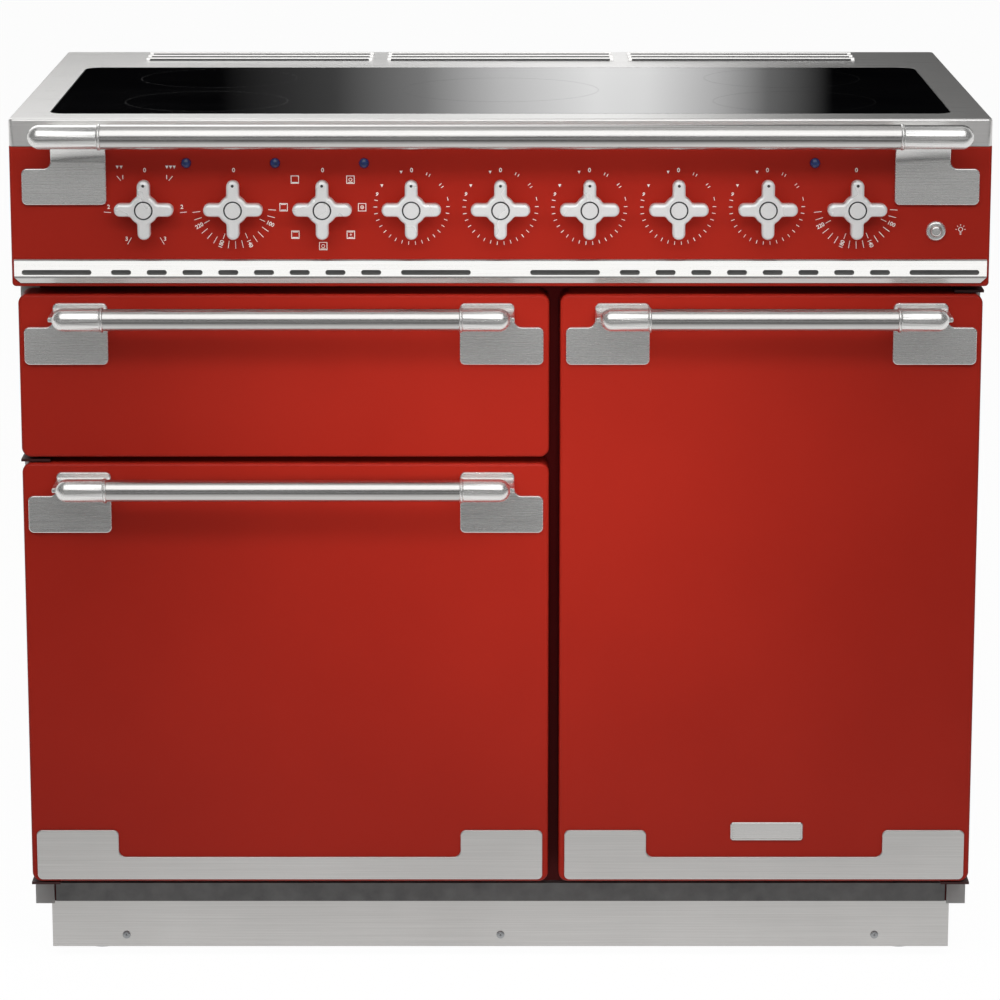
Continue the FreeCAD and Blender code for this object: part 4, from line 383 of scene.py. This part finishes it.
def tick(centre, inner, outer, angle, width=0.00065):
    turn = math.radians(angle)
    across = (math.cos(turn) * width / 2, -math.sin(turn) * width / 2)
    near, far = around(centre, inner, angle), around(centre, outer, angle)
    return [(near[0] - across[0], near[1] - across[1]), (near[0] + across[0], near[1] + across[1]),
            (far[0] + across[0], far[1] + across[1]), (far[0] - across[0], far[1] - across[1])]


def bar(x, z, width, height):
    return [(x - width / 2, z - height / 2), (x + width / 2, z - height / 2),
            (x + width / 2, z + height / 2), (x - width / 2, z + height / 2)]


def disc(x, z, radius, count=16):
    return [(x + cx, z + cz) for cx, cz in circle(radius, count)]


def arrow(x, z, size):
    return [(x - size / 2, z + size / 2), (x + size / 2, z + size / 2), (x, z - size / 2)]


def square(x, z, side, line=0.0007):
    half = side / 2 - line / 2
    return [bar(x, z + half, side, line), bar(x, z - half, side, line),
            bar(x - half, z, line, side - line * 2), bar(x + half, z, line, side - line * 2)]


def ring(x, z, radius, line=0.0006, count=16):
    pieces = []
    for number in range(count):
        a, b = (2 * math.pi * (number + share) / count for share in (0, 1))
        inner, outer = radius - line, radius
        pieces.append([(x + r * math.cos(t), z + r * math.sin(t))
                       for r, t in ((inner, a), (inner, b), (outer, b), (outer, a))])
    return pieces


def number_mesh(text, size):
    curve = bpy.data.curves.new("digits", "FONT")
    curve.body = text
    curve.size = size
    curve.align_x = "CENTER"
    curve.align_y = "CENTER"
    curve.extrude = 0.00005
    curve.offset = size * 0.02
    holder = bpy.data.objects.new("digits", curve)
    bpy.context.scene.collection.objects.link(holder)
    bpy.context.view_layer.update()
    shown = holder.evaluated_get(bpy.context.evaluated_depsgraph_get())
    mesh = bpy.data.meshes.new_from_object(shown)
    bpy.data.objects.remove(holder)
    bpy.data.curves.remove(curve)
    return mesh


def print_numbers(name, labels, shapes):
    """One printed piece on the panel: numbers at their places and the flat marks with them."""
    mesh = bars_mesh(name, shapes, PANEL_Y - 0.0001, PANEL_Y)
    work = bmesh.new()
    work.from_mesh(mesh)
    for text, x, z, size, turn in labels:
        digits = number_mesh(text, size)
        spot = (Matrix.Translation((x, PANEL_Y - 0.00005, z))
                @ Matrix.Rotation(math.radians(turn), 4, "Y")
                @ Matrix.Rotation(math.pi / 2, 4, "X"))
        digits.transform(spot)
        work.from_mesh(digits)
        bpy.data.meshes.remove(digits)
    work.to_mesh(mesh)
    work.free()
    return finish_mesh(name, mesh, PRINT, "cooker")


# Scales printed round the knobs

def grill_scale(x):
    labels = [("0", x, KNOB_Z + 0.0377, 0.0060, 0)]
    shapes = []
    for side in (-1, 1):
        labels += [("1", x + side * 0.0222, KNOB_Z + 0.0305, 0.0058, 0),
                   ("2", x + side * 0.0371, KNOB_Z + 0.0002, 0.0058, 0),
                   ("3", x + side * 0.0195, KNOB_Z - 0.0325, 0.0058, 0)]
        shapes += [tick((x + side * 0.0262, KNOB_Z + 0.0295), -0.003, 0.003, side * 40),
                   tick((x + side * 0.0385, KNOB_Z - 0.0052), -0.0035, 0.0035, 90 - side * 5),
                   tick((x + side * 0.0166, KNOB_Z - 0.0345), -0.004, 0.004, -side * 30)]
    for number in range(2):
        shapes.append(arrow(x - 0.0276 + 0.0039 * number, KNOB_Z + 0.0408, 0.0032))
    for number in range(3):
        shapes.append(arrow(x + 0.0226 + 0.0037 * number, KNOB_Z + 0.0408, 0.0032))
    return labels, shapes


def heat_scale(x):
    spot = (x, KNOB_Z)
    labels = [("0", x, KNOB_Z + 0.0377, 0.0060, 0)]
    shapes = []
    for number in range(17):
        angle = 94 + 10.55 * number
        if number in (2, 6, 10, 14):
            shapes.append(tick(spot, 0.0285, 0.0345, angle))
            place = around(spot, 0.0402, angle)
            turn = angle - 90 if angle < 180 else angle + 90
            labels.append((str(80 + 10 * number), *place, 0.0056, turn))
        else:
            shapes.append(tick(spot, 0.0347, 0.0425, angle))
    return labels, shapes


def mode_scale(x):
    spot = (x, KNOB_Z)
    labels = [("0", x, KNOB_Z + 0.0377, 0.0060, 0)]
    shapes = []
    side = 0.0083
    for number in range(1, 8):
        px, pz = around(spot, 0.0398, 45 * number)
        shapes += square(px, pz, side)
        if number in (1, 2, 4):
            shapes += ring(px, pz, 0.0019)
        if number in (1, 3, 4, 6):
            shapes.append(bar(px, pz - 0.0028, 0.0052, 0.0007))
        if number in (3, 5, 6):
            shapes.append(bar(px, pz + 0.0028, 0.0052, 0.0007))
        if number in (2, 3):
            shapes += [bar(px, pz, 0.0006, 0.0022), bar(px, pz, 0.0022, 0.0006)]
        if number in (5, 7):
            shapes.append(bar(px, pz - 0.0030, 0.0062, 0.0012))
    return labels, shapes


def hob_scale(x):
    spot = (x, KNOB_Z)
    labels = [("0", x, KNOB_Z + 0.0377, 0.0060, 0),
              ("1", *around(spot, 0.0375, 77), 0.0050, 77 - 90),
              ("9", *around(spot, 0.0375, 290.5), 0.0052, 290.5 - 270)]
    shapes = [tick(spot, 0.0350, 0.0386, 89 + 10.67 * number) for number in range(19)]
    shapes.append(arrow(*around(spot, 0.0372, 306), 0.0030))
    shapes.append(arrow(*around(spot, 0.0372, 343.6), 0.0030))
    for angle in (26.7, 53.8):
        shapes += [tick(spot, 0.0358, 0.0388, angle - 2.5, 0.0007),
                   tick(spot, 0.0358, 0.0388, angle + 2.5, 0.0007)]
    return labels, shapes


SCALES = [grill_scale, heat_scale, mode_scale] + [hob_scale] * 5 + [heat_scale]
for number, (scale, x) in enumerate(zip(SCALES, KNOB_X)):
    print_numbers(f"knob_scale_{number + 1}", *scale(x))


def light_mark():
    x, z = 0.4668, 0.796
    shapes = ring(x, z + 0.0014, 0.0024) + [bar(x, z - 0.0022, 0.0020, 0.0007),
                                            bar(x, z - 0.0036, 0.0014, 0.0007)]
    for angle in (-90, -45, 0, 45, 90):
        shapes.append(tick((x, z + 0.0014), 0.0036, 0.0052, angle, 0.0005))
    return shapes


print_numbers("light_mark", [], light_mark())


# Plain plate on the tall door, screws and hob marks

def rounded_plate(name, x, z, width, height, corner, layers, body, material):
    """A plate on the XZ plane from rounded outlines, each layer (y, inset)."""
    mesh = bpy.data.meshes.new(name)
    work = bmesh.new()
    rings = []
    for y, inset in layers:
        half = (width / 2 - inset, height / 2 - inset)
        radius = max(corner - inset, 0.0005)
        ring_verts = []
        for cx, cz, start in ((1, 1, 0), (-1, 1, 90), (-1, -1, 180), (1, -1, 270)):
            for step in range(7):
                turn = math.radians(start + 15 * step)
                px = x + cx * (half[0] - radius) + radius * math.cos(turn)
                pz = z + cz * (half[1] - radius) + radius * math.sin(turn)
                ring_verts.append(work.verts.new((px, y, pz)))
        rings.append(ring_verts)
    for first, second in zip(rings, rings[1:]):
        bridge(work, first, second)
    work.faces.new(rings[0])
    work.faces.new(list(reversed(rings[-1])))
    close_mesh(work, mesh)
    return finish_mesh(name, mesh, material, body)


rounded_plate("plain_plate", 0.2795, 0.157, 0.076, 0.020, 0.003,
              [(DOOR_Y, 0), (DOOR_Y - 0.0016, 0), (DOOR_Y - 0.0024, 0.0008),
               (DOOR_Y - 0.0024, 0.0022), (DOOR_Y - 0.0018, 0.0026)],
              "tall_door", STEEL_ROUND)


def vent_duct():
    """The dull steel backing that shows in the strip's slots."""
    material = brushed("duct_steel", (0.20, 0.20, 0.20), (0.34, 0.34, 0.335), 0.5,
                       (40, 300, 300), 0.3)
    low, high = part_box("vent_strip")
    y = PANEL_Y - 0.0005
    for number, (start, end) in enumerate(((low[0] + 0.004, -0.004), (0.004, high[0] - 0.004))):
        face = [(start, DUCT_LOW), (end, DUCT_LOW), (end, DUCT_HIGH), (start, DUCT_HIGH)]
        mesh = bars_mesh(f"vent_duct_{number + 1}", [face], y, y + 0.0004)
        finish_mesh(f"vent_duct_{number + 1}", mesh, material, "cooker")


vent_duct()


def knob_shade_inlays():
    """Painted shade on each knob: a dark ring down in the groove round its cap and a dark disc
    inside the hole on its pointer arm.
    """
    for number, (name, x) in enumerate(zip(KNOBS, KNOB_X)):
        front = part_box(name)[0][1]
        # painted shade: a dark ring at the bottom of the groove, where the groove is only shaded
        groove_shade = ring(x, KNOB_Z, 0.00945, 0.0014, 48)
        mesh = bars_mesh(f"knob_groove_shade_{number + 1}", groove_shade, front + 0.0019, front + 0.0024)
        finish_mesh(f"knob_groove_shade_{number + 1}", mesh, BLACK_PLASTIC, name)
        # painted shade: a dark disc set inside the hole in the pointer arm
        spot = [disc(x, KNOB_Z + 0.025, 0.00147, 24)]
        mesh = bars_mesh(f"knob_hole_shade_{number + 1}", spot, front + 0.0012, front + 0.0017)
        finish_mesh(f"knob_hole_shade_{number + 1}", mesh, BLACK_PLASTIC, name)


knob_shade_inlays()


def louvre_mouth_shades():
    """Painted shade: dark blocks that fill the openings under the front edges of the hob's louvres.
    """
    mesh = bpy.data.meshes.new("louvre_mouth_shades")
    work = bmesh.new()
    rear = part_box("hob_trim")[1][1]
    top = TRIM_TOP
    for row in range(3):
        y = rear - LOUVRE_GAP - LOUVRE_STEP * row
        for middle in LOUVRE_MIDDLES:
            x0, x1 = middle - LOUVRE_HALF, middle + LOUVRE_HALF
            corners = [(x0, y + 0.0001, top + 0.0003), (x1, y + 0.0001, top + 0.0003),
                       (x1, y + 0.0007, top + 0.0019), (x0, y + 0.0007, top + 0.0019)]
            lower = [work.verts.new((x, spot_y - 0.0004, z)) for x, spot_y, z in corners]
            upper = [work.verts.new((x, spot_y + 0.0006, z)) for x, spot_y, z in corners]
            work.faces.new(lower)
            work.faces.new(list(reversed(upper)))
            bridge(work, upper, lower)
    close_mesh(work, mesh)
    finish_mesh("louvre_mouth_shades", mesh, DARK_ENAMEL, "cooker")


louvre_mouth_shades()


def base_lip():
    """A folded steel lip along the foot of the front frame, between the plinth and the doors; its
    steel is darkened as painted shade for the recess under the doors.
    """
    low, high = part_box("plinth")
    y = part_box("front_frame")[0][1]
    foot = high[2] + 0.0005
    profile = [(y, foot), (y - LIP_DEPTH, foot), (y - LIP_DEPTH, LIP_LOW), (y, LIP_HIGH)]
    mesh = bpy.data.meshes.new("base_lip")
    work = bmesh.new()
    ends = [[work.verts.new((x, py, pz)) for py, pz in profile]
            for x in (low[0] + 0.006, high[0] - 0.006)]
    work.faces.new(ends[0])
    work.faces.new(list(reversed(ends[1])))
    bridge(work, ends[1], ends[0])
    close_mesh(work, mesh)
    finish_mesh("base_lip", mesh, BASE_STEEL_SHADED, "cooker")


base_lip()


def screw(name, spot, facing, radius, body):
    """A pan-head screw with a cross recess; facing is the way that its head looks."""
    mesh = bpy.data.meshes.new(name)
    work = bmesh.new()
    profile = [(radius, 0.0), (radius, 0.0006), (radius * 0.85, 0.0013), (radius * 0.5, 0.0018)]
    count = 24
    rings = [[work.verts.new((x, y, h)) for x, y in circle(r, count)] for r, h in profile]
    for first, second in zip(rings, rings[1:]):
        bridge(work, first, second)
    work.faces.new(list(reversed(rings[0])))
    rim = rings[-1]
    # the recess: a four-armed star that falls to a point below the head
    star = []
    for number in range(16):
        reach = radius * (0.42 if number % 4 in (0, 1) else 0.16)
        turn = 2 * math.pi * (number - 0.5) / 16
        star.append(work.verts.new((reach * math.cos(turn), reach * math.sin(turn), 0.0018)))
    for number in range(count):
        after = (number + 1) % count
        near = star[round(number * 16 / count) % 16]
        far = star[round(after * 16 / count) % 16]
        if near is far:
            work.faces.new((rim[number], rim[after], near))
        else:
            work.faces.new((rim[number], rim[after], far, near))
    tip = work.verts.new((0, 0, 0.0006))
    for number in range(16):
        work.faces.new((star[number], star[(number + 1) % 16], tip))
    close_mesh(work, mesh)
    turn = Vector((0, 0, 1)).rotation_difference(Vector(facing)).to_matrix().to_4x4()
    mesh.transform(Matrix.Translation(spot) @ turn)
    return finish_mesh(name, mesh, ZINC, body)


plinth_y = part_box("plinth")[0][1]
for number, x in enumerate((-0.4, 0.0, 0.4)):
    screw(f"plinth_screw_{number + 1}", (x, plinth_y, 0.025), (0, -1, 0), SCREW_HEAD, "cooker")
back_low, back_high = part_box("back_panel")
back_rows = (back_low[2] + 0.02, (back_low[2] + back_high[2]) / 2, back_high[2] - 0.05)
for row, z in enumerate(back_rows):
    for column, x in enumerate((back_low[0] + 0.012, back_high[0] - 0.012)):
        screw(f"back_screw_{row}_{column}", (x, back_high[1], z), (0, 1, 0), SMALL_SCREW_HEAD,
              "cooker")
for column, x in enumerate((-0.16, 0.16)):
    screw(f"back_screw_low_{column}", (x, back_high[1], back_rows[0]), (0, 1, 0),
          SMALL_SCREW_HEAD, "cooker")


def flat_ring(name, x, y, radius, line, z, count=72):
    mesh = bpy.data.meshes.new(name)
    work = bmesh.new()
    inner, outer = ([work.verts.new((x + cx, y + cy, z)) for cx, cy in circle(r, count)]
                    for r in (radius - line, radius))
    for number in range(count):
        after = (number + 1) % count
        work.faces.new((inner[number], outer[number], outer[after], inner[after]))
    work.to_mesh(mesh)
    work.free()
    return mesh


def make_zone_paint():
    material, tree, shader = new_material("zone_paint")
    cloud = noise(tree, (60, 60, 60), 1.0, 2.0)
    tree.links.new(two_tone(tree, cloud, (0.009, 0.009, 0.009), (0.014, 0.014, 0.014)),
                   shader.inputs["Base Color"])
    shader.inputs["Roughness"].default_value = 0.15
    return material


ZONE = make_zone_paint()
glass_low, glass_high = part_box("hob_glass")
glass_y = (glass_low[1] + glass_high[1]) / 2
zones = [(x, glass_y + y, 0.085) for x in (-0.306, 0.306) for y in (-0.101, 0.101)]
zones.append((0.0, glass_y, 0.105))
for number, (x, y, radius) in enumerate(zones):
    mesh = flat_ring(f"zone_mark_{number + 1}", x, y, radius, 0.0012, TOP_Z + 0.00003)
    finish_mesh(f"zone_mark_{number + 1}", mesh, ZONE, "cooker")


# Floor, light and camera

def is_any(tree, outputs):
    """A value of 1 where any of the light path's outputs is 1."""
    total = outputs[0]
    for other in outputs[1:]:
        either = node(tree, "ShaderNodeMath", operation="MAXIMUM")
        tree.links.new(total, either.inputs[0])
        tree.links.new(other, either.inputs[1])
        total = either.outputs[0]
    return total


def product(tree, first, second):
    times = node(tree, "ShaderNodeMath", operation="MULTIPLY")
    for socket, source in zip(times.inputs, (first, second)):
        if isinstance(source, float):
            socket.default_value = source
        else:
            tree.links.new(source, socket)
    return times.outputs[0]


def make_floor():
    """A pale floor: white to the camera, softer in the metal, always with the object's shadow."""
    mesh = bpy.data.meshes.new("floor")
    work = bmesh.new()
    bmesh.ops.create_grid(work, x_segments=8, y_segments=8, size=14)
    work.to_mesh(mesh)
    work.free()
    item = bpy.data.objects.new("floor", mesh)
    bpy.context.scene.collection.objects.link(item)
    material = bpy.data.materials.new("floor_pale")
    material.use_nodes = True
    tree = material.node_tree
    tree.nodes.clear()
    out = tree.nodes.new("ShaderNodeOutputMaterial")
    paint = tree.nodes.new("ShaderNodeBsdfDiffuse")
    paint.inputs["Color"].default_value = (0.80, 0.80, 0.80, 1)
    glow = tree.nodes.new("ShaderNodeEmission")
    path = tree.nodes.new("ShaderNodeLightPath")
    coords = node(tree, "ShaderNodeTexCoord")
    parts = node(tree, "ShaderNodeSeparateXYZ")
    tree.links.new(coords.outputs["Object"], parts.inputs[0])
    near = remap(tree, parts.outputs["Y"], 0.05, 0.85, -1.9, -0.6)
    far = remap(tree, parts.outputs["Y"], 0.42, 0.0, -4.0, -2.8)
    seen = is_any(tree, [path.outputs["Is Camera Ray"], path.outputs["Is Transmission Ray"]])
    strength = is_any(tree, [product(tree, seen, 1.05), near, far])
    tree.links.new(strength, glow.inputs["Strength"])
    shown = is_any(tree, [seen, path.outputs["Is Glossy Ray"]])
    mix = tree.nodes.new("ShaderNodeMixShader")
    tree.links.new(product(tree, shown, 0.92), mix.inputs[0])
    tree.links.new(paint.outputs[0], mix.inputs[1])
    tree.links.new(glow.outputs[0], mix.inputs[2])
    tree.links.new(mix.outputs[0], out.inputs[0])
    mesh.materials.append(material)
    item.location = (0, 0, -0.0005)


def make_world():
    """White wherever the camera looks; metal sees the white backdrop and a dimmer studio."""
    world = bpy.data.worlds.new("studio")
    bpy.context.scene.world = world
    world.use_nodes = True
    tree = world.node_tree
    tree.nodes.clear()
    out = tree.nodes.new("ShaderNodeOutputWorld")
    seen = tree.nodes.new("ShaderNodeBackground")
    seen.inputs["Color"].default_value = (1, 1, 1, 1)
    fill = tree.nodes.new("ShaderNodeBackground")
    fill.inputs["Color"].default_value = (1.0, 0.99, 0.98, 1)
    fill.inputs["Strength"].default_value = 0.12
    path = tree.nodes.new("ShaderNodeLightPath")
    coords = node(tree, "ShaderNodeTexCoord")
    parts = node(tree, "ShaderNodeSeparateXYZ")
    tree.links.new(coords.outputs["Generated"], parts.inputs[0])
    behind = remap(tree, parts.outputs["Y"], 0.16, 1.0, 0.15, 0.75)
    above = remap(tree, parts.outputs["Z"], 0.0, 0.6, 0.93, 0.985)
    direct = is_any(tree, [path.outputs["Is Camera Ray"], path.outputs["Is Transmission Ray"]])
    tree.links.new(is_any(tree, [direct, behind, above]), seen.inputs["Strength"])
    both = is_any(tree, [direct, path.outputs["Is Glossy Ray"]])
    mix = tree.nodes.new("ShaderNodeMixShader")
    tree.links.new(both, mix.inputs[0])
    tree.links.new(fill.outputs[0], mix.inputs[1])
    tree.links.new(seen.outputs[0], mix.inputs[2])
    tree.links.new(mix.outputs[0], out.inputs[0])


def ramp(tree, source, stops):
    item = node(tree, "ShaderNodeValToRGB")
    elements = item.color_ramp.elements
    elements[0].position, elements[1].position = stops[0][0], stops[-1][0]
    for place, _ in stops[1:-1]:
        elements.new(place)
    for element, (_, level) in zip(elements, stops):
        element.color = (level, level, level, 1)
    tree.links.new(source, item.inputs["Fac"])
    return item.outputs["Color"]


def make_reflector():
    """A card behind the cooker that only shiny faces see, bright near its middle."""
    wide, low, high, y = 2.6, 0.92, 4.2, 2.1
    mesh = bpy.data.meshes.new("reflector")
    work = bmesh.new()
    corners = [work.verts.new(spot) for spot in ((-wide, y, low), (wide, y, low), (wide, y, high),
                                                 (-wide, y, high))]
    work.faces.new(corners)
    work.to_mesh(mesh)
    work.free()
    item = bpy.data.objects.new("reflector", mesh)
    bpy.context.scene.collection.objects.link(item)
    material = bpy.data.materials.new("reflector_light")
    material.use_nodes = True
    tree = material.node_tree
    tree.nodes.clear()
    out = tree.nodes.new("ShaderNodeOutputMaterial")
    glow = tree.nodes.new("ShaderNodeEmission")
    coords = node(tree, "ShaderNodeTexCoord")
    parts = node(tree, "ShaderNodeSeparateXYZ")
    tree.links.new(coords.outputs["Object"], parts.inputs[0])
    across = remap(tree, parts.outputs["X"], 0.0, 1.0, -1.0, 1.0)
    below = ramp(tree, across, [(0.28, 0.0), (0.37, 0.05), (0.44, 0.20), (0.50, 0.53),
                                (0.575, 0.83), (0.615, 0.78), (0.67, 0.46), (0.71, 0.14),
                                (0.76, 0.0)])
    above = ramp(tree, across, [(0.30, 1.0), (0.55, 0.60), (0.68, 0.12), (0.90, 0.03)])
    mixed = node(tree, "ShaderNodeMix", data_type="RGBA")
    tree.links.new(remap(tree, parts.outputs["Z"], 0.0, 1.0, 1.35, 1.6), mixed.inputs["Factor"])
    tree.links.new(below, mixed.inputs["A"])
    tree.links.new(above, mixed.inputs["B"])
    tree.links.new(mixed.outputs["Result"], glow.inputs["Color"])
    glow.inputs["Strength"].default_value = 1.7
    tree.links.new(glow.outputs[0], out.inputs[0])
    mesh.materials.append(material)
    for kind in ("camera", "diffuse", "transmission", "volume_scatter", "shadow"):
        setattr(item, f"visible_{kind}", False)


def area_light(name, spot, aim, width, height, power, glossy=True):
    data = bpy.data.lights.new(name, "AREA")
    data.shape = "RECTANGLE"
    data.size, data.size_y = width, height
    place_light(name, data, spot, aim, power, glossy)


def spot_light(name, spot, aim, angle, power):
    data = bpy.data.lights.new(name, "SPOT")
    data.spot_size = math.radians(angle)
    data.spot_blend = 1.0
    data.shadow_soft_size = 0.3
    place_light(name, data, spot, aim, power, False)


def place_light(name, data, spot, aim, power, glossy):
    data.energy = power
    item = bpy.data.objects.new(name, data)
    bpy.context.scene.collection.objects.link(item)
    item.location = spot
    item.rotation_euler = (Vector(aim) - Vector(spot)).to_track_quat("-Z", "Y").to_euler()
    item.visible_camera = False
    item.visible_glossy = glossy


make_floor()
make_world()
make_reflector()
# name, place, aim, then width and height in metres or the angle in degrees, then watts
area_light("softbox", (0.0, -2.3, 2.85), (0, -0.3, 0.7), 4.0, 2.8, 46)
area_light("fascia_soft", (0.0, -1.5, 1.6), (0, -0.33, 0.74), 3.4, 0.3, 12, glossy=False)
spot_light("door_pool", (0.02, -3.0, 0.9), (0.0, -0.3, 0.45), 23, 80)
spot_light("grill_glow", (0.10, -2.5, 1.0), (0.03, -0.3, 0.63), 14, 165)

camera_data = bpy.data.cameras.new("camera")
camera_data.sensor_width = SENSOR_MM
camera_data.lens = LENS_MM
camera = bpy.data.objects.new("camera", camera_data)
bpy.context.scene.collection.objects.link(camera)
camera.location = CAMERA_SPOT
camera.rotation_euler = (math.pi / 2 - CAMERA_TILT, 0, 0)
bpy.context.scene.camera = camera
bpy.context.scene.view_settings.view_transform = "Standard"
